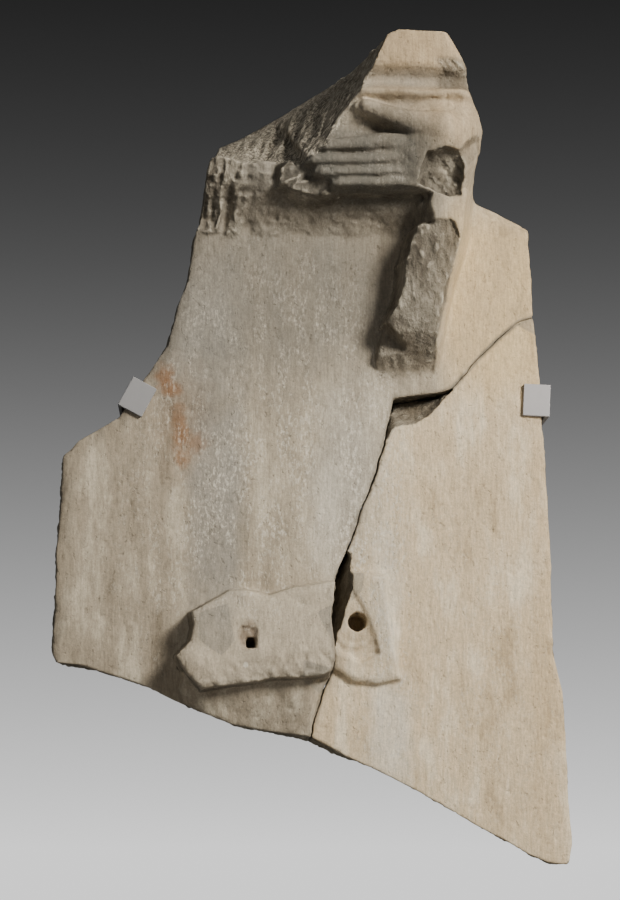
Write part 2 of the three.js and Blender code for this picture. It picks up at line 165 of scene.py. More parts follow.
# Distance to an outline, negative inside: the nearest edge's distance, its sign by counting crossings.
def distanceTo(outline, x, z):
    nearest = np.full(x.shape, 1e9)
    inside = np.zeros(x.shape, bool)
    count = len(outline)
    for i in range(count):
        ax, az = outline[i]
        bx, bz = outline[(i + 1) % count]
        dx, dz = bx - ax, bz - az
        along = np.clip(((x - ax) * dx + (z - az) * dz) / (dx * dx + dz * dz), 0, 1)
        nearest = np.minimum(nearest, (x - ax - along * dx) ** 2 + (z - az - along * dz) ** 2)
        if az != bz:
            crosses = (az > z) != (bz > z)
            inside ^= crosses & (x < ax + (z - az) * dx / dz)
    return np.sqrt(nearest) * np.where(inside, -1, 1)


# Distance to an open line, with how far along it the nearest point lies, as a list index.
def alongLine(points, x, z):
    nearest = np.full(x.shape, 1e9)
    place = np.zeros(x.shape)
    for i in range(len(points) - 1):
        ax, az = points[i][:2]
        bx, bz = points[i + 1][:2]
        dx, dz = bx - ax, bz - az
        along = np.clip(((x - ax) * dx + (z - az) * dz) / (dx * dx + dz * dz), 0, 1)
        distance = (x - ax - along * dx) ** 2 + (z - az - along * dz) ** 2
        closer = distance < nearest
        nearest = np.where(closer, distance, nearest)
        place = np.where(closer, i + along, place)
    return np.sqrt(nearest), place


# Value of a line at a place, straight between its points, which are given in rising order of the place.
def valueAt(points, place):
    return np.interp(place, *np.array(points, float).T)


# Where a line lies across at each height.
def acrossAt(points, z):
    return valueAt(sorted((b, a) for a, b in points), z)


cove = {"foot": 302.0, "brow": 373.0, "rise": 58.0, "leftShare": 0.6, "pocket": ((-50, 392), (9, 16), 20)}


# Ragged noise: one minus twice the size of fractal noise, so that it has sharp crests.
def crests(x, z, size, octaves, seed):
    return 1 - 2 * np.abs(planeNoise(x, z, size, octaves, seed))


# Round swelling or hollow: e to the minus of the squared distance in spreads.
def mound(x, z, centre, spread):
    return np.exp(-(((x - centre[0]) / spread[0]) ** 2) - ((z - centre[1]) / spread[1]) ** 2)


# Rough band above the smooth face: height is a quarter cosine of the way up, lower towards the left.
def coveHeight(x, z):
    flat = x * 0
    share = mix(cove["leftShare"], 1, step(-144, 12, x))
    edge = cove["foot"] + 1.5 * planeNoise(x, flat, 30, 2, 5)
    up = np.clip((z - edge) / (cove["brow"] - cove["foot"]), 0, 1.25)
    curl = 1 - np.cos(np.minimum(up, 1) * math.pi * 0.5) + np.maximum(up - 1, 0) * 1.2
    dents = 2.6 * planeNoise(x, z, 18, 3, 11) + 1.8 * crests(x * 0.8, z * 1.2, 10, 2, 14)
    left = step(-70, -125, x)
    flakes = left * (7 * crests(x - 0.15 * z, z * 0.3, 17, 3, 17) - 2)
    centre, spread, depth = cove["pocket"]
    pocket = depth * mound(x, z, centre, spread)
    notch = 3.5 * np.exp(-(((z - edge - 6) / 5) ** 2))
    band = step(0, 6, z - edge)
    height = cove["rise"] * share * curl - notch + (dents + flakes - pocket) * band
    return np.where(z > edge - 2, height, -30) - 90 * step(188, 214, x)


block = {
    "bed": 84.0, "rise": 105.0,
    "profile": [(354, 66), (360, 76), (370, 83), (380, 85), (484, 84), (489, 89), (494, 98), (499, 101),
                (504, 96), (510, 88), (516, 84), (523, 86), (529, 94), (535, 102), (541, 105),
                (600, 105)],   # height of the front along z
    "leftEnd": [(358, 34), (372, 28), (380, 8), (392, 4), (399, -8), (600, -8)],
    "wrist": ((196, 441), (52, 38), 28.0),            # centre, spread and swelling
    "back": ((152, 407), (50, 40), 20.0),             # back of the hand
    "aboveThumb": [(66, 487), (74, 491), (104, 482), (134, 474)],
    "wristLine": [(128, 472), (145, 484), (168, 487.5), (184, 487), (205, 484), (226, 478)],
}


# Block: a profile up the height, swellings for the wrist and the back of the hand, a hollow beside the thumb.
def blockHeight(x, z):
    flat = x * 0
    height = valueAt(block["profile"], z + 1.2 * planeNoise(x, flat, 40, 2, 19))
    right = acrossAt(inMillimetres(blockSide), z)
    wrist = np.exp(-(((z - 434) / 50) ** 2))
    corner = mix(15, 38, wrist) + 18 * step(400, 370, z)
    turn = np.clip((x - (right - corner)) / corner, 0, 1)
    for centre, spread, swelling in (block["wrist"], block["back"]):
        height = height + swelling * mound(x, z, centre, spread)
    below = valueAt(block["wristLine"], x) - z
    crest = 4.0 * step(-1, 4, below) * np.exp(-np.maximum(below, 0) / 30) * step(126, 150, x)
    web = (7 + 13 * step(45, 112, x)) * step(140, 122, x)
    web = web * np.exp(-(((z - 449 + 0.10 * (x - 110)) / 11) ** 2))
    height = height + crest - web - 12 * np.exp(-np.maximum(z - 357, 0) / 11) * step(70, 125, x)
    groove = valueAt(block["aboveThumb"], x)
    height = height - 5 * np.exp(-(((z - groove) / 2.6) ** 2)) * step(64, 72, x) * step(138, 116, x)
    height = height - corner * 1.3 * (1 - np.sqrt(np.maximum(1 - turn ** 2, 0)))
    height = height - 5 * np.maximum(x - right, 0)
    height = height + 0.8 * planeNoise(x, z, 34, 3, 23)
    chip = step(170, 184, x + 5 * noise(x / 14, flat, z / 14, 25)) * step(500, 507, z) * step(552, 543, z)
    scratches = 1.5 * crests(x + 0.8 * z, (z - x) * 0.2, 7, 2, 27)
    height = height - chip * (3.5 - scratches)
    ragged = 2.5 * planeNoise(x, z, 18, 3, 29)
    left = valueAt(block["leftEnd"], z)
    outside = np.maximum(left - x, 362 - z) + ragged * step(45, 15, x)
    return height - 12 * np.maximum(outside, 0), chip


# Fingers and thumb from tip to hand: x, z, height above their axis, radius, all in thousandths.
digits = {
    "index": [(9, 350, -3, 4.5), (14, 351, -1, 6.6), (38, 353, 0, 7.5), (61, 354, 1, 9), (84, 356, 1, 10.5),
              (112, 353, -2, 13), (140, 348, -6, 15)],
    "middle": [(-4, 334, -3, 4.5), (1, 334, -1, 6.8), (26, 334, 0, 7), (52, 334, 1, 7.6), (84, 336, 1, 8.4),
               (112, 337, -2, 10), (140, 336, -6, 12)],
    "ring": [(5, 320, -3, 4), (10, 320, -1, 5.8), (34, 320, -1, 6), (60, 320, 0, 6.6), (86, 321, 0, 7.4),
             (112, 323, -3, 9), (140, 324, -8, 11)],
    "little": [(26, 307, -5, 3.6), (31, 307, -3, 4.8), (52, 308, -3, 5), (75, 308, -2, 5.6),
               (94, 310, -3, 6.6), (120, 313, -8, 9)],
    "thumb": [(54, 399, 0, 6.0), (59, 399, 3, 8.6), (70, 396, 5, 9.4), (87, 389, 5, 10.4), (103, 384, 5, 12),
              (124, 376, 5, 17), (150, 369, 5, 24)],
}
digitSit = 90.0   # height of the finger axes

# The clefts between neighbouring fingers, in thousandths of the height.
clefts = [[(6, 342.5), (60, 344), (112, 345)], [(2, 327), (60, 327), (112, 329)],
          [(28, 313.5), (75, 314), (104, 316.5)]]


# Fingers: round limbs along a line, as high as the axis plus the root of radius squared less distance
# squared, then a cleft between each two.
def digitHeight(x, z):
    total = np.full(x.shape, -50.0)
    for path in digits.values():
        distance, place = alongLine([(p[0] * unit, p[1] * unit) for p in path], x, z)
        index = np.arange(len(path))
        axis = digitSit + unit * np.interp(place, index, [p[2] for p in path])
        radius = unit * np.interp(place, index, [p[3] for p in path])
        dome = np.sqrt(np.maximum(radius ** 2 - distance ** 2, 0))
        limb = np.where(distance < radius, axis + dome, axis - 4 * (distance - radius))
        total = raised(total, limb, 1.0)
    for line in clefts:
        distance = alongLine([(a * unit, b * unit) for a, b in line], x, z)[0]
        total = total - 4.5 * np.exp(-((distance / 1.8) ** 2)) * step(134, 104, x)
    return total


# Nails: x, z, half length, half width and lean of each.
nails = [(17, 422, 5.0, 3.8, 0), (6, 402, 5.4, 4.2, 0), (15, 385, 4.4, 3.2, 0), (72, 480, 6.4, 5.2, 0.25)]


# Nails: a slightly raised oval plate with a fine groove round it.
def nailRelief(x, z):
    total = np.zeros(x.shape)
    for a, b, long, wide, lean in nails:
        dx, dz = x - a, z - b
        ring = np.sqrt((dx / long) ** 2 + ((dz + lean * dx) / wide) ** 2)
        total = total + 0.8 * step(1.0, 0.8, ring) - 1.1 * np.exp(-(((ring - 1.12) / 0.16) ** 2))
    return total


ridge = {
    "rise": 74.0,
    "stations": [  # z, left x, right x, share of the rise
        (312, 126, 186, 0.98), (290, 126, 182, 1), (262, 124, 179, 1), (239, 119, 174, 1),
        (216, 113, 167, 0.97),
        (195, 109, 160, 0.96), (163, 98, 153, 0.93), (136, 86, 149, 0.80), (120, 82, 147, 0.58),
        (106, 80, 146, 0.30),
        (95, 80, 144, 0.12), (84, 80, 143, 0.02), (76, 80, 143, -0.1),
    ],
    "bevel": 17.0,
    "scar": [(60, 60), (60, 190), (100, 262), (120, 300), (150, 316), (166, 320), (196, 321), (201, 316),
             (207, 294),
             (203, 269), (194, 225), (187, 189), (178, 146), (176, 60)],
    "crack": [(104, 212), (120, 191), (144, 162), (163, 130), (176, 96)],
    "lens": [(104, 171), (131, 142), (129, 119), (113, 104), (94, 126), (92, 142)],
}


# Forearm ridge: left and right edges and rise read off its stations, a steep left wall, a bevel on the right.
def ridgeHeight(x, z):
    flat = x * 0
    stations = np.array(sorted(ridge["stations"]), float)
    z0 = stations[:, 0] * unit
    wave = 2.5 * planeNoise(flat, z, 22, 3, 31)
    left = np.interp(z, z0, stations[:, 1] * unit) + wave
    right = np.interp(z, z0, stations[:, 2] * unit)
    rise = ridge["rise"] * np.interp(z, z0, stations[:, 3])
    worn = 4 * np.exp(-(np.maximum(x - left, 0) / 5)) + 3 * np.exp(-(np.maximum(right - x, 0) / 3))
    scar = distanceTo(ridge["scar"], x + 2.0 * planeNoise(x, z, 15, 3, 95), z)
    inScar = step(1.5, -1.5, scar)
    torn = 4.5 + 3.0 * planeNoise(x, z * 0.6, 30, 4, 97) + 1.2 * crests(x + 0.4 * z, z * 0.4, 12, 2, 98)
    top = rise - worn - inScar * torn
    # below the crack across the front the stone has split off in facets
    toCrack = alongLine(ridge["crack"], x, z)[0]
    below = np.where(x < acrossAt(ridge["crack"], z), toCrack, 0) * step(215, 205, z)
    split = 66 - 0.75 * below + 1.6 * planeNoise(x, z, 24, 2, 99) - 2 * step(1, 4, below)
    top = np.where(below > 0.5, np.minimum(top, split), top)
    inLens = distanceTo(ridge["lens"], x, z)
    lens = 38 - 0.30 * (z - 104) - 0.25 * (130 - x) + 2.5 * np.maximum(inLens, 0)
    lens = lens + 0.8 * planeNoise(x, z, 14, 2, 94)
    top = np.where(inLens < 6, lowered(top, lens, 1.0), top)
    pitted = step(174, 164, x + 4 * planeNoise(flat, z, 18, 3, 95)) * step(312, 322, z)
    top = top - pitted * (1 + 1.6 * np.maximum(174 - x, 0) + 3.5 * crests(x, z * 0.6, 13, 3, 93))
    leftWall = top - 5 * np.maximum(left - x, 0)
    leftWall = leftWall + 2.5 * planeNoise(x, z * 0.5, 14, 2, 92) * step(0, 4, left - x)
    bevel = np.maximum(rise, 1) / ridge["bevel"] * np.maximum(x - right, 0)
    broken = np.maximum(np.maximum(inScar, step(0, 3, left - x)), pitted)
    broken = broken * (1 - 0.35 * step(0, 4, below)) * step(0, 22, top)
    return np.minimum(leftWall, top - bevel), broken


boss = {
    "rise": 60.0,
    "fall": 9.0,      # steepness of its sides
    "tilt": 0.05,
    "face": [(-167, -236), (-147, -225), (-115, -206), (-93, -205), (-59, -212), (-21, -200), (16, -194),
             (60, -190),
             (60, -290), (31, -314), (17, -322), (-12, -325), (-40, -326), (-62, -329), (-100, -335),
             (-152, -342),
             (-175, -318), (-186, -296), (-169, -277), (-163, -254)],
}


# Boss: a worn flat face inside its outline, falling steeply outside it.
def bossHeight(x, z):
    waver = 2.0 * planeNoise(x, z, 28, 3, 37)
    outside = distanceTo(boss["face"], x + waver, z + waver * 0.6)
    tilt = boss["tilt"] * (-278 - z) + 1.4 * planeNoise(x, z, 60, 3, 41)
    worn = 4.5 * np.exp(np.minimum(outside, 0) / 5)
    lower = step(-285, -300, z - 0.15 * x)
    rough = mix(0.3, 2.4, lower) * planeNoise(x, z, 9, 3, 43) - 2.5 * lower
    rough = rough - 1.5 * crests(x, z, 60, 2, 44) * (1 - lower)
    return boss["rise"] + tilt - worn + rough - boss["fall"] * np.maximum(outside, 0)


skirt = {
    "low": [(-205, -352), (-154, -374), (-109, -396), (1, -411), (40, -420)],
    "high": [(-205, -318), (-155, -332), (-17, -320), (40, -316)],
    "rise": (6.0, 36.0),   # at its lower and upper line
}


# Skirt: a rough slope from under the boss down to the broken lower edge.
def skirtHeight(x, z):
    flat = x * 0
    low, high = valueAt(skirt["low"], x), valueAt(skirt["high"], x)
    up = np.clip((z - low) / (high - low), -0.2, 1.1)
    side = step(-196, -176, x + 4 * planeNoise(flat, z, 20, 2, 45)) * step(48, -6, x) * step(-304, -316, z)
    rough = 2.2 * planeNoise(x, z, 24, 3, 47)
    return side * mix(*skirt["rise"], up) - 40 * (1 - side) + rough


lowScar = {
    "rise": 12.0,
    "outline": [(0, -176), (80, -176), (106, -180), (111, -228), (123, -298), (125, -324), (95, -331),
                (61, -328),
                (36, -312), (0, -310)],
    "tongue": [(59, -200), (70, -215), (84, -240), (92, -270), (98, -291), (70, -302), (42, -288), (30, -262),
               (44, -230)],
}


# Low scar right of the crack: a shallow worn shelf, hollowed round the drilled hole with curved tool marks.
def scarHeight(x, z):
    flat = x * 0
    outside = distanceTo(lowScar["outline"], x + 2 * planeNoise(x, z, 26, 2, 51), z)
    tongue = step(3, -5, distanceTo(lowScar["tongue"], x + 1.5 * noise(x / 14, flat, z / 14, 52), z))
    around = np.sqrt((x - 60) ** 2 + (z + 250) ** 2)
    marks = 1.0 * np.sin(around / 2.6 + 2.5 * noise(x / 22, flat, z / 22, 53)) * step(-262, -272, z)
    hollow = tongue * (4.0 + 4 * step(-262, -295, z)) + tongue * marks
    edge = 0.5 * np.maximum(outside + 6, 0) + 1.6 * np.maximum(outside, 0)
    return lowScar["rise"] + 0.7 * planeNoise(x, z, 16, 3, 54) - hollow - edge


topBreak = {
    "front": [(-216, 404, 30), (-134, 416, 34), (-88, 406, 35), (-41, 404, 40), (-12, 400, 72), (-4, 404, 92),
              (24, 426, 100),
              (42, 453, 100), (59, 485, 100), (76, 514, 100), (92, 551, 102), (106, 581, 105),
              (122, 588, 105),
              (188, 586, 105), (276, 564, 95)],
    "back": [(-228, 446), (-131, 473), (-100, 487), (-47, 518), (23, 562), (50, 580), (77, 599), (98, 616),
             (110, 625), (192, 626), (300, 600)],
}


# Break across the top left: between its front and back lines the height falls with the share of the way,
# with leaning ribs where the stone tore.
def breakHeight(x, z):
    flat = x * 0
    front = np.array(topBreak["front"], float)
    frontZ = np.interp(x, front[:, 0], front[:, 1]) + 2.0 * planeNoise(x, flat, 12, 3, 60) * step(90, 60, x)
    beyond = z - frontZ
    toFront, place = alongLine(topBreak["front"], x, z)
    toBack = alongLine(topBreak["back"], x, z)[0]
    edge = np.interp(place, np.arange(len(front)), front[:, 2])
    share = toFront / (toFront + toBack + 1e-6)
    lean = x - 0.28 * z
    ribs = 4.5 * crests(lean, z * 0.16, 26, 3, 61) + 3.8 * crests(lean, z * 0.15, 7, 2, 63)
    inner = np.minimum(share, 1 - share) * 4
    height = mix(edge, -stone["thickness"], share) + (ribs - 4) * np.clip(inner, 0.12, 1)
    return np.where(beyond > 0, height, 400.0)


stump = {
    "facet": [(163, 404), (184, 412), (207, 409), (212, 389), (209, 357), (191, 357), (174, 364), (154, 372)],
    "side": [(206, 409), (236, 436), (248, 402), (238, 372), (226, 350), (211, 350), (212, 389)],
}


# Broken forearm stump: a slanting hollow facet with diagonal ribs, and a plainer one turned to the right.
def stumpHeight(x, z):
    flat = x * 0
    outside = distanceTo(stump["facet"], x + 1.2 * noise(x / 9, flat, z / 9, 71), z)
    ribs = 2.6 * crests(x + z, (z - x) * 0.18, 9, 2, 73) + 1.0 * planeNoise(x, z, 7, 2, 75)
    up = np.clip((z - 357) / 55, 0, 1)
    facet = mix(60, 93, up) - 7 * np.sin(up * math.pi) + ribs + 4.5 * np.maximum(outside, 0)
    outside = distanceTo(stump["side"], x, z)
    side = 97 - 0.9 * (x - 208) + 1.4 * planeNoise(x, z, 14, 3, 77) + 3 * np.maximum(outside, 0)
    return facet, side


lump = {"outline": [(-44, 372), (-42, 392), (-28, 405), (-2, 408), (6, 396), (12, 388), (30, 376), (36, 358),
                    (-8, 358),
                    (-28, 364)]}


# Broken lump left of the fingertips: torn facets inside a ragged outline.
def lumpHeight(x, z):
    flat = x * 0
    outside = distanceTo(lump["outline"], x + 3 * planeNoise(x, z, 16, 3, 81), z)
    facets = 8 * noise(x / 17 + 3, flat, z / 15, 83) + 5 * crests(x - z, z * 0.5, 14, 2, 85)
    return 68 + facets + 0.25 * np.clip(z - 380, -10, 20) - 3.5 * np.maximum(outside, 0)


bore = {"centre": (66.0, -244.8), "radius": 11.6, "bottom": -43.0}
socket = {"centre": (-84.0, -278.4), "half": 5.6, "bottom": 14.0,
          "wear": [(-98, -256), (-77, -257), (-76, -286), (-97, -285)], "wearLevel": 54.0}

lowChip = [(-122, 41, 46), (-130, 40, 49), (-147, 34, 47), (-160, 29, 46), (-174, 25, 45), (-186, 23, 41),
           (-200, 22, 36), (-224, 23, 29), (-233, 24, 27)]
highChip = [(93, 56, 14), (101, 64, 27), (125, 68, 32), (146, 71, 47), (170, 77, 73)]
chipDepth = 42.0


# Chips along the crack, on its right: depth rises from the crack to the face along a hollow curve.
def chipHeight(x, z):
    low = np.array(sorted(lowChip), float) * unit
    near, far = [np.interp(z, low[:, 0], low[:, i]) for i in (1, 2)]
    near = near - 3
    far = far + 1.5 * noise(z / 9, x * 0, x * 0, 87)
    share = (x - near) / np.maximum(far - near, 1)
    cut = chipDepth * (np.clip(share, 0, 3) ** 1.6 - 1) + 2 * planeNoise(x, z * 0.5, 12, 2, 89)
    first = np.where((z < low[-1, 0] + 1) & (z > low[0, 0]), cut, 400.0)
    high = np.array(highChip, float) * unit
    top, foot = [np.interp(x, high[:, 0], high[:, i]) for i in (1, 2)]
    foot = foot + 1.5 * noise(x / 12, x * 0, x * 0, 91)
    share = (top - z) / np.maximum(top - foot, 1)
    cut = chipDepth * (np.clip(share, 0, 3) ** 1.3 - 1) + 2 * planeNoise(x * 0.5, z, 14, 2, 93)
    second = np.where((x > high[0, 0] - 4) & (x < high[-1, 0]), cut, 400.0)
    return np.minimum(first, second)


shoulder = [(200, 367), (240, 366), (277, 347), (316, 325)]


# The whole front: forms raised one over another, then cuts lowered into them, with what is broken marked.
def frontSurface(x, z, right):
    flat = x * 0
    face = 0.9 * planeNoise(x, z, 150, 3, 1)
    toShoulder = alongLine(shoulder, x, z)[0]
    face = face - 0.9 * np.maximum(12 - toShoulder + 2 * planeNoise(x, z, 14, 2, 3), 0)
    coveForm = coveHeight(x, z)
    blockForm, chipped = blockHeight(x, z)
    hand = raised(blockForm, digitHeight(x, z), 1.5) + nailRelief(x, z)
    hand = np.where(blockForm > 20, hand, blockForm)
    facet, side = stumpHeight(x, z)
    ridgeForm, torn = ridgeHeight(x, z)
    lumpForm = lumpHeight(x, z)
    height = raised(face, coveForm, 1.0)
    broken = step(0, 5, coveForm - face) * (0.32 + 0.6 * step(-70, -120, x)) * step(205, 180, x)
    cuts = np.minimum(facet, side)
    ridgeForm = np.minimum(ridgeForm, 80 - 400 * step(363, 369, z))
    whole = np.maximum(np.maximum(hand, lumpForm), ridgeForm)
    upper = lowered(whole, cuts, 0.8)
    ofHand = np.where(lumpForm >= whole, 0.75, np.where(ridgeForm >= whole, torn, 0.8 * chipped))
    ofHand = np.maximum(ofHand, np.where(facet < side, 1.0, 0.6) * step(2, -1, cuts - whole))
    # painted shade: the band just under the block counts as broken stone, so the material paints it dark
    shadeUnderBlock = step(15, 30, block["bed"] - whole) * step(370, 362, z) * step(352, 356, z) * step(212, 200, x)
    broken = np.where(upper > height, np.maximum(ofHand, shadeUnderBlock), broken)
    height = raised(height, upper, 1.5)
    if right:
        scar = scarHeight(x, z)
        broken = np.where(scar > height, 0.15, broken)
        height = raised(height, scar, 1.0)
    else:
        bossForm = bossHeight(x, z)
        skirtForm = skirtHeight(x, z)
        onSide = step(5, 12, boss["rise"] - bossForm) * np.maximum(step(-235, -250, z), step(-140, -155, x))
        worn = 0.22 * step(-292, -304, z - 0.15 * x)
        broken = np.where(bossForm > height, np.maximum(0.8 * onSide, worn), broken)
        broken = np.where((skirtForm > bossForm) & (skirtForm > height), 0.10, broken)
        height = raised(height, np.maximum(bossForm, skirtForm), 1.5)
    beyond = breakHeight(x, z)
    broken = np.where(beyond < height, 1, broken)
    height = lowered(height, beyond, 1.0)
    if right:
        chips = chipHeight(x, z)
        broken = np.where(chips < height, 1, broken)
        height = np.minimum(height, chips)
        fromBore = np.sqrt((x - bore["centre"][0]) ** 2 + (z - bore["centre"][1]) ** 2) - bore["radius"]
        height = np.minimum(height, bore["bottom"] + 40 * np.maximum(fromBore, 0))
    else:
        dx, dz = np.abs(x - socket["centre"][0]), np.abs(z - socket["centre"][1])
        fromSocket = np.maximum(dx, dz) - socket["half"]
        shifted = x + noise(x / 4, flat, z / 4, 101), z + noise(z / 4, flat, x / 4, 103)
        fromWear = distanceTo(socket["wear"], *shifted)
        wear = socket["wearLevel"] + 1.4 * planeNoise(x, z, 6, 2, 105) + 4 * np.maximum(fromWear, 0)
        height = np.minimum(height, wear)
        height = np.minimum(height, socket["bottom"] + 40 * np.maximum(fromSocket, 0))
    return height, broken


# Outline sides as lists of x against z, from which each row's ends are read.
def sideOf(points):
    line = np.array(sorted((z, x) for x, z in inMillimetres(points)))
    return line[:, 0], line[:, 1]


# The crack moved sideways by half its gap, along each point's own normal; narrow where it has been filled.
def crackSide(towards):
    line = inMillimetres(crackLine)
    run = np.gradient(line, axis=0)
    run = run / np.linalg.norm(run, axis=1)[:, None]
    gap = np.interp(line[:, 1], [76, 84], [stone["crackGap"], stone["filledGap"]])
    away = np.stack([run[:, 1], -run[:, 0]], 1) * (towards * gap / 2)[:, None]
    return (line + away) / unit


fragments = {
    "upper_left": {
        "left": list(map(tuple, crackSide(1)[-1:])) + lowerLeftEdge + leftEdge + backOfBreak,
        "right": list(map(tuple, crackSide(1))) + shoulderEdge + blockSide,
        "isRight": False, "replaces": "upper_left_fragment", "triangles": 196000, "slope": 115,
    },
    "lower_right": {
        "left": list(map(tuple, crackSide(-1))) + lowerRightEdge,
        "right": rightEdge,
        "isRight": True, "replaces": "lower_right_fragment", "triangles": 150000, "slope": 150,
    },
}


# A closed body carried up the height: each row runs along the front, back along the right side,
# across the flat back and out along the left side.
def fragmentSurface(values):
    leftZ, leftX = sideOf(values["left"])
    rightZ, rightX = sideOf(values["right"])
    low = max(leftZ[0], rightZ[0])
    high = min(leftZ[-1], rightZ[-1])
    turn = low + values["slope"]
    closeRows, wideRows = np.arange(low, turn, stone["lowRowStep"]), np.arange(turn, high, stone["rowStep"])
    z = np.concatenate([closeRows, wideRows, [high]])
    still = z * 0
    shared = 1.2 * planeNoise(still, z, 16, 3, 301)
    leftNoise = shared if values["isRight"] else 1.3 * planeNoise(still, z, 30, 4, 303)
    rightNoise = 1.0 * planeNoise(still, z, 40, 4, 305) if values["isRight"] else shared
    ends = np.clip(np.minimum(z - low, high - z) / 10, 0, 1)
    left = np.interp(z, leftZ, leftX) + leftNoise * ends
    right = np.interp(z, rightZ, rightX) + rightNoise * ends
    right = np.maximum(right, left + 0.5)
    columns, wall = stone["columns"], stone["wallPoints"]
    u = np.linspace(0, 1, columns)
    x = left[:, None] + (right - left)[:, None] * u
    zGrid = np.repeat(z[:, None], columns, 1)
    height = frontSurface(x, zGrid, values["isRight"])[0]
    fromLeft, fromRight = x - left[:, None], right[:, None] - x
    chips = 1 + 1.1 * planeNoise(x, zGrid, 18, 3, 307)
    onLeft = 1.0 if not values["isRight"] else 0.35
    onRight = 1.0 if values["isRight"] else 0.35
    wear = onLeft * np.exp(-fromLeft / 3) + onRight * np.exp(-fromRight / 3)
    height = height - stone["edgeWear"] * chips * wear
    depth = np.minimum(-(stone["thickness"] + height), -0.6)
    share = np.linspace(0, 1, wall + 2)[1:-1]
    swell = stone["edgeSwell"] * np.sin(share * math.pi) - 3.0 * share ** 3
    slant = stone["lowSlant"] * step(turn + 10, turn - 20, z)

    room = np.clip((right - left)[:, None] / 80, 0, 1)

    def wallOf(edge, depths, outward, amount):
        xs = edge[:, None] + outward * amount * swell * np.clip(-depths[:, None] / 60, 0, 1)
        xs = xs + (slant[:, None] * share * room if outward < 0 else 0)
        ys = depths[:, None] * (1 - share)
        return np.stack([xs, ys, np.repeat(z[:, None], wall, 1)], 2)

    front = np.stack([x, depth, zGrid], 2)
    rightWall = wallOf(right, depth[:, -1], 1, onRight if values["isRight"] else 0.0)
    leftWall = wallOf(left, depth[:, 0], -1, onLeft if not values["isRight"] else 0.0)[:, ::-1]
    ub = np.linspace(1, 0, stone["backPoints"])
    inset = 3.0 * np.clip(-np.minimum(depth[:, 0], depth[:, -1]) / 60, 0, 1)[:, None]
    backLeft = left[:, None] + inset + slant[:, None] * room
    backX = backLeft + np.maximum(right[:, None] - inset - backLeft, 0.1) * ub
    backRow = np.stack([backX, np.zeros_like(backX), np.repeat(z[:, None], stone["backPoints"], 1)], 2)
    loop = np.concatenate([front, rightWall, backRow, leftWall], 1)
    return loop / 1000


# Quads between neighbouring rows, with a cap on the lowest and the highest row.
def meshFromLoops(name, loop):
    rows, count = loop.shape[:2]
    i, j = np.meshgrid(np.arange(rows - 1), np.arange(count), indexing="ij")
    after = (j + 1) % count
    quads = np.stack([i * count + j, i * count + after, (i + 1) * count + after, (i + 1) * count + j], -1)
    quads = quads.reshape(-1, 4)
    corners = np.concatenate([quads.ravel(), np.arange(count)[::-1], (rows - 1) * count + np.arange(count)])
    starts = np.concatenate([np.arange(len(quads)) * 4, [len(quads) * 4, len(quads) * 4 + count]])
    mesh = bpy.data.meshes.new(name)
    mesh.vertices.add(rows * count)
    mesh.vertices.foreach_set("co", loop.astype(np.float32).ravel())
    mesh.loops.add(len(corners))
    mesh.loops.foreach_set("vertex_index", corners.astype(np.int32))
    mesh.polygons.add(len(starts))
    mesh.polygons.foreach_set("loop_start", starts.astype(np.int32))
    mesh.update(calc_edges=True)
    return mesh


def addObject(name, mesh):
    made = bpy.data.objects.new(name, mesh)
    bpy.context.scene.collection.objects.link(made)
    return made


# Puts one modifier on an object and keeps its result as the object's mesh.
def finishWith(made, kind, **settings):
    modifier = made.modifiers.new(kind.lower(), kind)
    for key, value in settings.items():
        setattr(modifier, key, value)
    evaluated = made.evaluated_get(bpy.context.evaluated_depsgraph_get())
    mesh = bpy.data.meshes.new_from_object(evaluated)
    made.modifiers.clear()
    made.data = mesh
    return mesh


def vertexArray(mesh, key):
    values = np.empty(len(mesh.vertices) * 3, np.float32)
    mesh.vertices.foreach_get(key, values)
    return values.reshape(-1, 3).astype(np.float64)


# What each point of the finished surface is: how far behind the front it lies and whether it is broken.
def surfaceKinds(points, isRight):
    x, y, z = (points * 1000).T
    height, broken = frontSurface(x, z, isRight)
    behind = y + stone["thickness"] + height
    side = step(5, 12, behind)
    isBack = step(-5, -1.5, y)
    return np.maximum(broken, side) * (1 - isBack), side, isBack


# Fine relief: the point moves along its normal by fractal noise, strong where broken and slight where smooth.
def roughen(mesh, isRight):
    points = vertexArray(mesh, "co")
    normals = vertexArray(mesh, "normal")
    broken, side, isBack = surfaceKinds(points, isRight)
    x, y, z = (points * 1000).T
    fine = fractal(x, y, z, 9, 3, 201)
    coarse = fractal(x, y, z, 34, 3, 205)
    flakes = np.abs(fractal(x, y * 1.3, z * 0.5, 13, 3, 209))
    move = broken * (0.9 * fine + 1.6 * flakes - 0.9) + side * (1.0 * coarse + 0.5 * fine)
    pits = step(0.52, 0.8, fractal(x, y, z, 7, 2, 213))
    move = move + (1 - broken) * (0.28 * coarse + 0.1 * fine - 0.7 * pits)
    move = move * (1 - isBack)
    points = points + normals * move[:, None] / 1000
    points[:, 1] = np.minimum(points[:, 1], 0)
    mesh.vertices.foreach_set("co", points.astype(np.float32).ravel())
    mesh.update()


# One number for each point, for the material to read.
def storeAttribute(mesh, name, values):
    attribute = mesh.attributes.new(name, "FLOAT", "POINT")
    attribute.data.foreach_set("value", values.astype(np.float32))


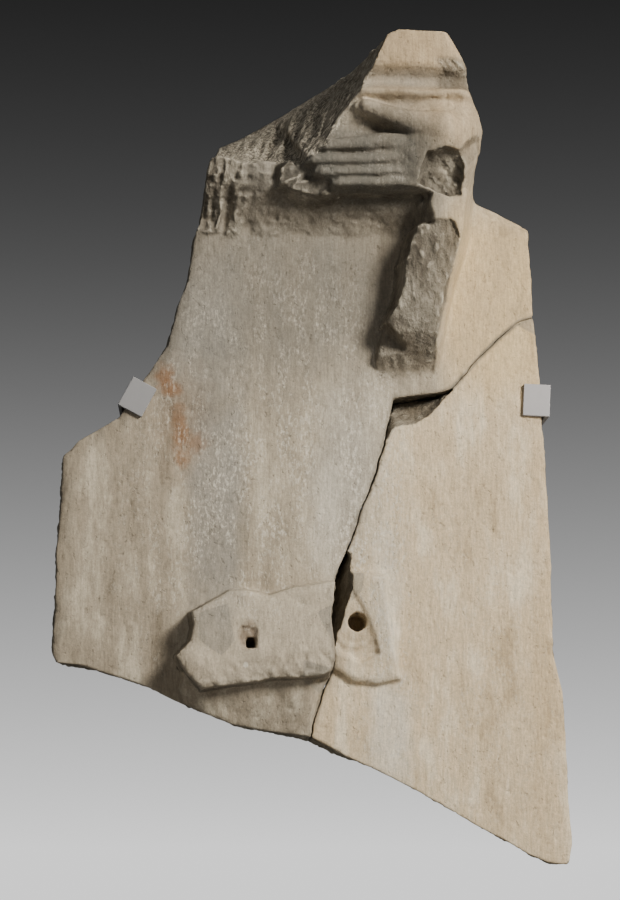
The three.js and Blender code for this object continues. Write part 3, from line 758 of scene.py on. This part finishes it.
# Hollowness: the mean of how far each point's neighbours stand above its own tangent plane, then evened out.
def hollowness(mesh):
    points, normals = vertexArray(mesh, "co"), vertexArray(mesh, "normal")
    edges = np.empty(len(mesh.edges) * 2, np.int32)
    mesh.edges.foreach_get("vertices", edges)
    a, b = edges.reshape(-1, 2).T
    run = points[b] - points[a]
    run = run / np.maximum(np.linalg.norm(run, axis=1), 1e-9)[:, None]
    count = len(points)
    links = np.maximum(np.bincount(a, minlength=count) + np.bincount(b, minlength=count), 1)
    bend = np.bincount(a, (normals[a] * run).sum(1), count) - np.bincount(b, (normals[b] * run).sum(1), count)
    bend = bend / links
    for _ in range(2):
        bend = 0.5 * bend + 0.5 * (np.bincount(a, bend[b], count) + np.bincount(b, bend[a], count)) / links
    return bend


repairs = {
    "patches": [[(-156, -236), (-116, -224), (-107, -275), (-124, -297), (-156, -275)],
                [(59, -176), (76, -176), (73, -200), (57, -217)],
                [(-11, -302), (26, -313), (14, -346), (-12, -328)],
                [(8, -236), (34, -222), (28, -275)],
                [(330, 190), (318, 197), (296, 184), (330, 166)]],
    "filled": [(320, 194), (300, 188), (271, 164), (244, 137), (214, 102), (203, 90)],
    "halfWidth": 2.6,
}


# Distance in millimetres to the nearest repair: flat patches and the filled stretch of the crack.
def toRepair(x, z):
    total = alongLine(repairs["filled"], x, z)[0] - repairs["halfWidth"]
    for outline in repairs["patches"]:
        total = np.minimum(total, distanceTo(outline, x, z))
    return total


# Fragment: the closed body is evened out, roughened, thinned and given its attributes.
def makeFragment(name, values):
    mesh = meshFromLoops(name, fragmentSurface(values))
    made = addObject(name, mesh)
    mesh = finishWith(made, "REMESH", mode="VOXEL", voxel_size=stone["voxel"] / 1000, adaptivity=0.0)
    stage("%s evened out: %d points" % (name, len(mesh.vertices)))
    roughen(mesh, values["isRight"])
    share = values["triangles"] / (2 * len(mesh.polygons))
    mesh = finishWith(made, "DECIMATE", ratio=min(1.0, share))
    points = vertexArray(mesh, "co")
    broken, side, isBack = surfaceKinds(points, values["isRight"])
    x, z = (points * 1000).T[[0, 2]]
    toCrack = alongLine(inMillimetres(crackLine), x, z)[0]
    storeAttribute(mesh, "broken", broken)
    storeAttribute(mesh, "side", side)
    storeAttribute(mesh, "hollow", hollowness(mesh))
    storeAttribute(mesh, "toRepair", np.minimum(toRepair(x, z), 30) + 30 * np.maximum(side, isBack))
    storeAttribute(mesh, "toCrack", np.minimum(toCrack, 60))
    storeAttribute(mesh, "ribbed", (breakHeight(x, z) < 399) * (1 - isBack))
    toRim = alongLine(inMillimetres(leftEdge), x, z)[0]
    storeAttribute(mesh, "toRim", np.minimum(toRim, 60))
    mesh.polygons.foreach_set("use_smooth", np.ones(len(mesh.polygons), bool))
    mesh.name = name
    stage("%s finished: %d faces" % (name, len(mesh.polygons)))
    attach(made, "root")
    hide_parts(values["replaces"])
    return made


# Shader helpers: each makes a node, sets or joins its sockets and gives back its output.
def join(tree, output, socket):
    tree.links.new(output, socket)


def mixColor(tree, factor, first, second, blend="MIX"):
    node = tree.nodes.new("ShaderNodeMix")
    node.data_type = "RGBA"
    node.blend_type = blend
    for socket, value in ((node.inputs[0], factor), (node.inputs[6], first), (node.inputs[7], second)):
        if isinstance(value, bpy.types.NodeSocket):
            tree.links.new(value, socket)
        elif isinstance(value, (int, float)):
            socket.default_value = value
        else:
            socket.default_value = (*value, 1)
    return node.outputs[2]


def mathNode(tree, kind, first, second=0.0, third=None, clamp=False):
    node = tree.nodes.new("ShaderNodeMath")
    node.operation = kind
    node.use_clamp = clamp
    for socket, value in zip(node.inputs, (first, second, third)):
        if isinstance(value, bpy.types.NodeSocket):
            tree.links.new(value, socket)
        elif value is not None:
            socket.default_value = value
    return node.outputs[0]


def rampNode(tree, factor, low, high):
    node = tree.nodes.new("ShaderNodeMapRange")
    node.interpolation_type = "SMOOTHSTEP"
    node.inputs["From Min"].default_value = low
    node.inputs["From Max"].default_value = high
    tree.links.new(factor, node.inputs["Value"])
    return node.outputs["Result"]


def noiseNode(tree, vector, scale, detail=4.0, roughness=0.55):
    node = tree.nodes.new("ShaderNodeTexNoise")
    node.inputs["Scale"].default_value = scale
    node.inputs["Detail"].default_value = detail
    node.inputs["Roughness"].default_value = roughness
    tree.links.new(vector, node.inputs["Vector"])
    return node.outputs["Fac"]


def mapped(tree, vector, location=(0, 0, 0), rotation=(0, 0, 0), scale=(1, 1, 1)):
    node = tree.nodes.new("ShaderNodeMapping")
    node.inputs["Location"].default_value = location
    node.inputs["Rotation"].default_value = rotation
    node.inputs["Scale"].default_value = scale
    tree.links.new(vector, node.inputs["Vector"])
    return node.outputs["Vector"]


# Spot mask: 1 inside an oval on the front, fading over its rim, with a ragged edge from noise.
def spotGroup():
    tree = bpy.data.node_groups.new("spot mask", "ShaderNodeTree")
    for name in ("Vector", "Centre", "Size"):
        tree.interface.new_socket(name, in_out="INPUT", socket_type="NodeSocketVector")
    for name in ("Rim", "Ragged", "Grain", "Square"):
        tree.interface.new_socket(name, in_out="INPUT", socket_type="NodeSocketFloat")
    tree.interface.new_socket("Mask", in_out="OUTPUT", socket_type="NodeSocketFloat")
    inputs = tree.nodes.new("NodeGroupInput")
    outputs = tree.nodes.new("NodeGroupOutput")
    away = tree.nodes.new("ShaderNodeVectorMath")
    away.operation = "SUBTRACT"
    join(tree, inputs.outputs["Vector"], away.inputs[0])
    join(tree, inputs.outputs["Centre"], away.inputs[1])
    share = tree.nodes.new("ShaderNodeVectorMath")
    share.operation = "DIVIDE"
    join(tree, away.outputs[0], share.inputs[0])
    join(tree, inputs.outputs["Size"], share.inputs[1])
    flat = tree.nodes.new("ShaderNodeSeparateXYZ")
    join(tree, share.outputs[0], flat.inputs[0])
    ax = mathNode(tree, "ABSOLUTE", flat.outputs["X"])
    az = mathNode(tree, "ABSOLUTE", flat.outputs["Z"])
    box = mathNode(tree, "MAXIMUM", ax, az)
    squares = mathNode(tree, "ADD", mathNode(tree, "POWER", ax, 2.0), mathNode(tree, "POWER", az, 2.0))
    oval = mathNode(tree, "SQRT", squares)
    shape = tree.nodes.new("ShaderNodeMix")
    join(tree, inputs.outputs["Square"], shape.inputs[0])
    join(tree, oval, shape.inputs[2])
    join(tree, box, shape.inputs[3])
    grain = tree.nodes.new("ShaderNodeTexNoise")
    grain.inputs["Detail"].default_value = 5
    join(tree, inputs.outputs["Vector"], grain.inputs["Vector"])
    join(tree, inputs.outputs["Grain"], grain.inputs["Scale"])
    ragged = mathNode(tree, "SUBTRACT", grain.outputs["Fac"], 0.5)
    ragged = mathNode(tree, "MULTIPLY", ragged, inputs.outputs["Ragged"])
    distance = mathNode(tree, "ADD", shape.outputs[0], ragged)
    rim = mathNode(tree, "DIVIDE", mathNode(tree, "SUBTRACT", 1.0, distance), inputs.outputs["Rim"])
    join(tree, mathNode(tree, "ADD", rim, 0.5, clamp=True), outputs.inputs["Mask"])
    return tree


# Weathering: fine grain, small dark pits, flecks and vertical water streaks, as masks and a height.
def weatherGroup():
    tree = bpy.data.node_groups.new("weathering", "ShaderNodeTree")
    tree.interface.new_socket("Vector", in_out="INPUT", socket_type="NodeSocketVector")
    names = ("Grain", "Flecks", "Pits", "Scratches", "Streaks", "Mottle", "Blotches", "Height")
    for name in names:
        tree.interface.new_socket(name, in_out="OUTPUT", socket_type="NodeSocketFloat")
    inputs = tree.nodes.new("NodeGroupInput")
    outputs = tree.nodes.new("NodeGroupOutput")
    vector = inputs.outputs["Vector"]
    grain = noiseNode(tree, vector, 330, 6, 0.7)
    coarse = noiseNode(tree, vector, 90, 5, 0.62)
    flecks = noiseNode(tree, mapped(tree, vector, scale=(1, 1, 0.5)), 260, 6, 0.78)
    flecks = rampNode(tree, flecks, 0.49, 0.60)
    pits = rampNode(tree, noiseNode(tree, mapped(tree, vector, scale=(1, 1, 0.75)), 170, 3, 0.6), 0.62, 0.71)
    scratches = noiseNode(tree, mapped(tree, vector, scale=(1, 1, 0.16)), 300, 4, 0.65)
    streaks = noiseNode(tree, mapped(tree, vector, scale=(1, 1, 0.075)), 46, 5, 0.62)
    mottle = noiseNode(tree, mapped(tree, vector, scale=(1, 1, 0.45)), 24, 6, 0.62)
    blotches = noiseNode(tree, mapped(tree, vector, scale=(1, 1, 0.6)), 7, 4, 0.55)
    height = mathNode(tree, "MULTIPLY_ADD", coarse, 0.6, mathNode(tree, "MULTIPLY", grain, 0.5))
    height = mathNode(tree, "SUBTRACT", height, mathNode(tree, "MULTIPLY", pits, 0.8))
    for name, value in zip(names, (grain, flecks, pits, scratches, streaks, mottle, blotches, height)):
        join(tree, value, outputs.inputs[name])
    return tree


spotTree = spotGroup()
weatherTree = weatherGroup()


# One place on the front: the spot mask with its own centre, size and rim.
def spot(tree, vector, centre, size, rim=0.5, ragged=0.8, grain=30.0, square=0.0):
    node = tree.nodes.new("ShaderNodeGroup")
    node.node_tree = spotTree
    join(tree, vector, node.inputs["Vector"])
    node.inputs["Centre"].default_value = (centre[0], 0, centre[1])
    node.inputs["Size"].default_value = (size[0], 1, size[1])
    for name, value in (("Rim", rim), ("Ragged", ragged), ("Grain", grain), ("Square", square)):
        node.inputs[name].default_value = value
    return node.outputs["Mask"]


palette = {
    "cool": (0.250, 0.232, 0.195),
    # shade: darker tone of the upper panel, partly painted shade and partly darker stone
    "shade": (0.190, 0.168, 0.130),
    # handGreyWithShade: the hand's grey patina, darkened further as painted shade on the hand's lower side
    "handGreyWithShade": (0.106, 0.098, 0.079),
    "bossFace": (0.440, 0.370, 0.270),
    "broken": (0.270, 0.238, 0.180),
    "dark": (0.068, 0.056, 0.040),
    # crest: pale colour of the painted highlights on convex crests and on the top break's ribs
    "crest": (0.480, 0.425, 0.325),
    "crust": (0.620, 0.560, 0.450),
    "rust": (0.200, 0.090, 0.032),
    "fill": (0.215, 0.195, 0.155),
    "brown": (0.110, 0.060, 0.028),
    "tawny": (0.430, 0.300, 0.155),
    "warm": (0.600, 0.440, 0.235),
}

# Each piece's own stone: its deep, middle and light colour.
stones = {
    "upper_left": {"slot": "grey_limestone", "deep": (0.205, 0.165, 0.112), "middle": (0.325, 0.268, 0.190),
                   "light": (0.480, 0.410, 0.300)},
    "lower_right": {"slot": "warm_limestone", "deep": (0.400, 0.300, 0.175), "middle": (0.575, 0.450, 0.285),
                    "light": (0.700, 0.590, 0.420)},
}

# Tinted places on the front: colour, centre, size, strength, rim, raggedness, grain, squareness, in metres.
tints = [
    # darker upper panel below the cove: partly painted shade from the block above, partly darker stone
    ("shade", (-0.050, 0.220), (0.190, 0.140), 0.85, 1.0, 0.8, 9, 0.3),
    ("bossFace", (-0.070, -0.270), (0.115, 0.068), 0.80, 0.4, 0.4, 20, 0.5),
    ("warm", (0.268, 0.215), (0.080, 0.138), 0.75, 0.5, 0.3, 12, 0.6),
    ("cool", (-0.020, 0.395), (0.120, 0.040), 0.50, 0.9, 0.9, 14, 0.5),
    ("light", (-0.020, -0.060), (0.110, 0.170), 0.30, 1.0, 0.9, 12, 0.0),
    ("cool", (-0.132, -0.070), (0.036, 0.150), 0.70, 0.7, 1.0, 22, 0.6),
    ("cool", (-0.160, 0.180), (0.060, 0.100), 0.45, 0.9, 0.9, 14, 0.0),
    ("cool", (0.050, -0.020), (0.040, 0.100), 0.45, 0.9, 0.9, 14, 0.3),
    ("tawny", (0.165, 0.548), (0.085, 0.048), 0.60, 0.5, 0.4, 18, 1.0),
    # grey band in the hollow under the block's top plane: painted shade
    ("cool", (0.150, 0.519), (0.080, 0.013), 0.65, 0.9, 0.5, 14, 0.6),
    ("tawny", (0.200, 0.455), (0.055, 0.055), 0.40, 0.9, 0.5, 14, 0.0),
    # lower hand: grey patina with painted shade
    ("handGreyWithShade", (0.070, 0.400), (0.115, 0.062), 0.85, 0.6, 0.5, 20, 0.3),
    ("tawny", (0.335, -0.100), (0.026, 0.460), 0.35, 0.9, 0.8, 12, 1.0),
    ("rust", (-0.208, 0.106), (0.012, 0.018), 0.70, 0.9, 1.8, 90, 0.0),
    ("rust", (-0.197, 0.086), (0.012, 0.012), 0.70, 0.9, 1.8, 90, 0.0),
    ("rust", (-0.186, 0.030), (0.010, 0.034), 0.65, 0.9, 1.8, 90, 0.0),
    ("rust", (-0.168, 0.010), (0.020, 0.014), 0.45, 0.9, 1.8, 90, 0.0),
    ("rust", (-0.182, -0.016), (0.009, 0.010), 0.60, 0.9, 1.8, 90, 0.0),
    ("rust", (-0.180, 0.040), (0.034, 0.070), 0.16, 1.2, 1.4, 60, 0.0),
    ("brown", (-0.088, -0.268), (0.013, 0.018), 0.60, 0.6, 0.7, 60, 0.0),
    ("crust", (-0.091, -0.309), (0.0035, 0.004), 0.90, 0.4, 0.5, 200, 0.0),
    ("crust", (0.085, -0.070), (0.048, 0.150), 0.25, 1.0, 1.2, 30, 0.3),
    ("crust", (0.022, -0.100), (0.022, 0.085), 0.50, 1.0, 1.3, 40, 0.3),
    ("crust", (0.106, -0.215), (0.017, 0.095), 0.50, 1.0, 1.3, 40, 0.3),
    ("crust", (0.112, -0.400), (0.028, 0.075), 0.70, 0.9, 1.3, 40, 0.3),
    ("handGreyWithShade", (0.050, 0.250), (0.040, 0.060), 0.20, 1.0, 1.0, 20, 0.0),
]

# Places where white flecks gather: centre, size and strength.
crusted = [
    ((0.085, -0.070), (0.050, 0.170), 0.90), ((0.112, -0.400), (0.036, 0.085), 1.00),
    ((-0.020, -0.090), (0.120, 0.140), 0.70), ((-0.160, -0.140), (0.110, 0.150), 0.55),
    ((-0.060, 0.120), (0.160, 0.140), 0.45), ((0.240, -0.300), (0.110, 0.240), 0.35),
    ((0.090, 0.395), (0.080, 0.050), 0.25), ((0.104, -0.215), (0.030, 0.100), 0.90),
]


surface = {
    "shine": 0.25,
    "roughness": (0.2, 0.72),     # share of the grain, lowest value
    "bump": 0.6,
    "depth": 0.0018,
    "fillShare": 0.55,
    "pitShare": 0.16,
}


# Stone: its three tones, tinted places, flecks, broken stone with painted shade and some dirt in its hollows
# and painted highlights on its crests, and grain over all.
def stoneMaterial(name, values):
    material = bpy.data.materials.new(name)
    material.use_nodes = True
    tree = material.node_tree
    shader = tree.nodes["Principled BSDF"]
    vector = tree.nodes.new("ShaderNodeTexCoord").outputs["Object"]
    weather = tree.nodes.new("ShaderNodeGroup")
    weather.node_tree = weatherTree
    join(tree, vector, weather.inputs["Vector"])

    def stored(attribute):
        node = tree.nodes.new("ShaderNodeAttribute")
        node.attribute_name = attribute
        return node.outputs["Fac"]

    def times(first, second):
        return mathNode(tree, "MULTIPLY", first, second)

    mottle, grainMask, scratches = [weather.outputs[key] for key in ("Mottle", "Grain", "Scratches")]
    broken, hollow = stored("broken"), stored("hollow")
    tone = mathNode(tree, "ADD", times(mottle, 0.45), times(weather.outputs["Streaks"], 0.35))
    tone = mathNode(tree, "ADD", tone, times(weather.outputs["Blotches"], 0.35))
    color = mixColor(tree, rampNode(tree, tone, 0.43, 0.57), values["deep"], values["middle"])
    color = mixColor(tree, rampNode(tree, tone, 0.56, 0.69), color, values["light"])
    fine = mathNode(tree, "MULTIPLY_ADD", mottle, 1.2, 0.4)
    for kind, centre, size, strength, rim, ragged, grain, square in tints:
        area = spot(tree, vector, centre, size, rim, ragged, grain, square)
        shade = values["light"] if kind == "light" else palette[kind]
        amount = mathNode(tree, "MULTIPLY", times(area, strength), fine, clamp=True)
        color = mixColor(tree, amount, color, shade)
    clusters = noiseNode(tree, mapped(tree, vector, scale=(1, 1, 0.3)), 55, 5, 0.65)
    speckled = times(weather.outputs["Flecks"], rampNode(tree, clusters, 0.42, 0.60))
    for centre, size, strength in crusted:
        area = times(spot(tree, vector, centre, size, 1.1, 0.9, 14), speckled)
        color = mixColor(tree, times(area, strength), color, palette["crust"])
    # broken stone is darker; its crests and hollows get the painted highlight and shade below
    brokenColor = mixColor(tree, rampNode(tree, mottle, 0.35, 0.7), palette["dark"], palette["broken"])
    color = mixColor(tree, times(broken, 0.82), color, brokenColor)
    # painted highlight: paler colour on convex crests, strongest on broken stone
    crest = times(rampNode(tree, hollow, -0.03, -0.14), mathNode(tree, "MULTIPLY_ADD", broken, 0.55, 0.12))
    color = mixColor(tree, crest, color, palette["crest"])
    # painted shade with some dirt: darker colour in concave hollows, strongest on broken stone
    hollowShadeAndDirt = times(rampNode(tree, hollow, 0.03, 0.24), mathNode(tree, "MULTIPLY_ADD", broken, 0.60, 0.14))
    color = mixColor(tree, hollowShadeAndDirt, color, palette["dark"])
    # dirt beside the crack and grey fillings, each with a crisp edge
    nearCrack = times(rampNode(tree, stored("toCrack"), 7.0, 1.0), rampNode(tree, mottle, 0.35, 0.6))
    color = mixColor(tree, times(nearCrack, 0.55), color, palette["dark"])
    rimDirt = times(rampNode(tree, stored("toRim"), 26.0, 2.0), rampNode(tree, mottle, 0.38, 0.6))
    color = mixColor(tree, times(rimDirt, 0.55), color, palette["dark"])
    waver = mathNode(tree, "MULTIPLY_ADD", mottle, 3.0, -1.5)
    repair = mathNode(tree, "ADD", stored("toRepair"), waver)
    filled = times(rampNode(tree, repair, 1.4, -0.8), surface["fillShare"])
    color = mixColor(tree, filled, color, palette["fill"])
    pits = times(weather.outputs["Pits"], surface["pitShare"])
    color = mixColor(tree, pits, color, palette["dark"])
    # leaning ribs across the top break: light streaks of painted highlight on the rib crests, over darker
    # stone
    lean = mapped(tree, mapped(tree, vector, rotation=(0, -0.273, 0)), scale=(1, 1, 0.12))
    ribs = times(noiseNode(tree, lean, 300, 4, 0.7), stored("ribbed"))
    color = mixColor(tree, times(rampNode(tree, ribs, 0.46, 0.58), 0.95), color, palette["crest"])
    grain = mathNode(tree, "MULTIPLY_ADD", grainMask, 0.9, 0.10)
    grain = mathNode(tree, "ADD", grain, times(scratches, 0.9))
    color = mixColor(tree, 1.0, color, grain, "MULTIPLY")
    join(tree, color, shader.inputs["Base Color"])
    roughness = mathNode(tree, "MULTIPLY_ADD", grainMask, *surface["roughness"])
    join(tree, roughness, shader.inputs["Roughness"])
    bump = tree.nodes.new("ShaderNodeBump")
    bump.inputs["Strength"].default_value = surface["bump"]
    bump.inputs["Distance"].default_value = surface["depth"]
    pecked = noiseNode(tree, mapped(tree, vector, scale=(1, 1, 0.8)), 130, 5, 0.6)
    rough = times(broken, mathNode(tree, "ABSOLUTE", mathNode(tree, "SUBTRACT", pecked, 0.5)))
    height = mathNode(tree, "ADD", weather.outputs["Height"], times(rough, 7.0))
    height = mathNode(tree, "ADD", height, times(ribs, 7.0))
    height = mathNode(tree, "ADD", height, times(scratches, 0.5))
    join(tree, height, bump.inputs["Height"])
    join(tree, bump.outputs["Normal"], shader.inputs["Normal"])
    shader.inputs["Specular IOR Level"].default_value = surface["shine"]
    return material


# Satin paint with faint smears and a fine speckle.
def clipMaterial(name, shade):
    material = bpy.data.materials.new(name)
    material.use_nodes = True
    tree = material.node_tree
    shader = tree.nodes["Principled BSDF"]
    vector = tree.nodes.new("ShaderNodeTexCoord").outputs["Object"]
    speckle = noiseNode(tree, vector, 900, 3, 0.5)
    smear = noiseNode(tree, vector, 60, 4, 0.5)
    amount = mathNode(tree, "MULTIPLY", rampNode(tree, smear, 0.3, 0.8), 0.25)
    join(tree, mixColor(tree, amount, shade, tuple(v * 0.8 for v in shade)), shader.inputs["Base Color"])
    join(tree, mathNode(tree, "MULTIPLY_ADD", smear, 0.2, 0.4), shader.inputs["Roughness"])
    bump = tree.nodes.new("ShaderNodeBump")
    bump.inputs["Strength"].default_value = 0.15
    bump.inputs["Distance"].default_value = 0.0003
    join(tree, speckle, bump.inputs["Height"])
    join(tree, bump.outputs["Normal"], shader.inputs["Normal"])
    return material


clips = {
    # the left clip's paint is darker than the right's: painted shade on the same grey paint
    "left": {"node": "left_clip", "slot": "shaded_clip_paint", "color": (0.27, 0.262, 0.258)},
    "right": {"node": "right_clip", "slot": "clip_paint", "color": (0.38, 0.36, 0.352)},
    "edge": 0.0012,
}


# Clip: the construction's bent bar with its doubles merged and its edges rounded.
def makeClip(side):
    values = clips[side]
    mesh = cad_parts[values["node"]].data.copy()
    mesh.name = side + " clip"
    made = addObject(side + "_hanging_clip", mesh)
    finishWith(made, "WELD", merge_threshold=0.00005)
    mesh = finishWith(made, "BEVEL", width=clips["edge"], segments=3, limit_method="ANGLE")
    mesh.materials.clear()
    mesh.materials.append(clipMaterial(side + " clip paint", values["color"]))
    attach(made, "root")
    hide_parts(values["node"])
    return made


for fragmentName, fragmentValues in fragments.items():
    piece = makeFragment(fragmentName, fragmentValues)
    piece.data.materials.clear()
    piece.data.materials.append(stoneMaterial(fragmentName + " limestone", stones[fragmentName]))
for clipSide in ("left", "right"):
    makeClip(clipSide)
stage("clips made")

view = {"azimuth": -2.4, "elevation": -8.7, "distance": 3.692, "lens": 104.0, "target": (0, -0.12, 0)}


# Camera: away from its target along the view's azimuth and elevation.
def makeCamera():
    azimuth, elevation = math.radians(view["azimuth"]), math.radians(view["elevation"])
    away = Vector((math.sin(azimuth) * math.cos(elevation), -math.cos(azimuth) * math.cos(elevation),
                   math.sin(elevation)))
    data = bpy.data.cameras.new("camera")
    data.lens = view["lens"]
    data.sensor_width = 36
    data.clip_end = 50
    camera = addObject("camera", data)
    camera.location = Vector(view["target"]) + away * view["distance"]
    camera.rotation_euler = (-away).to_track_quat("-Z", "Y").to_euler()
    bpy.context.scene.camera = camera


lights = {
    "key": {"place": (2.10, -2.70, 1.35), "size": 1.0, "watts": 215, "color": (1, 0.975, 0.93)},
    "fill": {"place": (-2.2, -3.2, 0.6), "size": 2.5, "watts": 12, "color": (0.95, 0.97, 1)},
}


# Square lights, each turned towards the middle of the panel.
def makeLights():
    for name, values in lights.items():
        data = bpy.data.lights.new(name, "AREA")
        data.size = values["size"]
        data.energy = values["watts"]
        data.color = values["color"]
        light = addObject(name, data)
        light.location = values["place"]
        aim = Vector((0, -0.1, 0)) - light.location
        light.rotation_euler = aim.to_track_quat("-Z", "Y").to_euler()


room = {"floor": -0.95, "size": 30, "brightest": 1.12, "fade": (10.0, 7.0), "fill": 0.13, "floorShade": 1.12,
        "floorColor": 0.25}


# Backdrop: the shade is the brightest value times e to the minus of (first fade times height + second times
# its square), seen by the camera alone; everything else is lit by an even dim fill.
def makeRoom():
    mesh = bpy.data.meshes.new("floor")
    size, level = room["size"], room["floor"]
    corners = [(-size, -size, level), (size, -size, level), (size, size, level), (-size, size, level)]
    mesh.from_pydata(corners, [], [(0, 1, 2, 3)])
    floor = addObject("floor", mesh)
    material = bpy.data.materials.new("floor")
    material.use_nodes = True
    tree = material.node_tree
    shader = tree.nodes["Principled BSDF"]
    seen = tree.nodes.new("ShaderNodeLightPath").outputs["Is Camera Ray"]
    join(tree, mixColor(tree, seen, (room["floorColor"],) * 3, (0.0,) * 3), shader.inputs["Base Color"])
    join(tree, mathNode(tree, "MULTIPLY", seen, room["floorShade"]), shader.inputs["Emission Strength"])
    shader.inputs["Emission Color"].default_value = (1, 1, 1, 1)
    shader.inputs["Specular IOR Level"].default_value = 0.0
    shader.inputs["Roughness"].default_value = 0.9
    mesh.materials.append(material)
    world = bpy.data.worlds.new("room")
    bpy.context.scene.world = world
    world.use_nodes = True
    tree = world.node_tree
    background = tree.nodes["Background"]
    direction = tree.nodes.new("ShaderNodeTexCoord").outputs["Generated"]
    split = tree.nodes.new("ShaderNodeSeparateXYZ")
    join(tree, direction, split.inputs[0])
    up = mathNode(tree, "MAXIMUM", split.outputs["Z"], 0.0)
    fade = mathNode(tree, "MULTIPLY_ADD", up, room["fade"][1], room["fade"][0])
    fade = mathNode(tree, "MULTIPLY", fade, up)
    shade = mathNode(tree, "EXPONENT", mathNode(tree, "MULTIPLY", fade, -1.0))
    shade = mathNode(tree, "MULTIPLY", shade, room["brightest"])
    path = tree.nodes.new("ShaderNodeLightPath")
    color = mixColor(tree, path.outputs["Is Camera Ray"], (room["fill"],) * 3, shade)
    join(tree, color, background.inputs["Color"])
    background.inputs["Strength"].default_value = 1.0


makeCamera()
makeLights()
makeRoom()
stage("room and lights made")
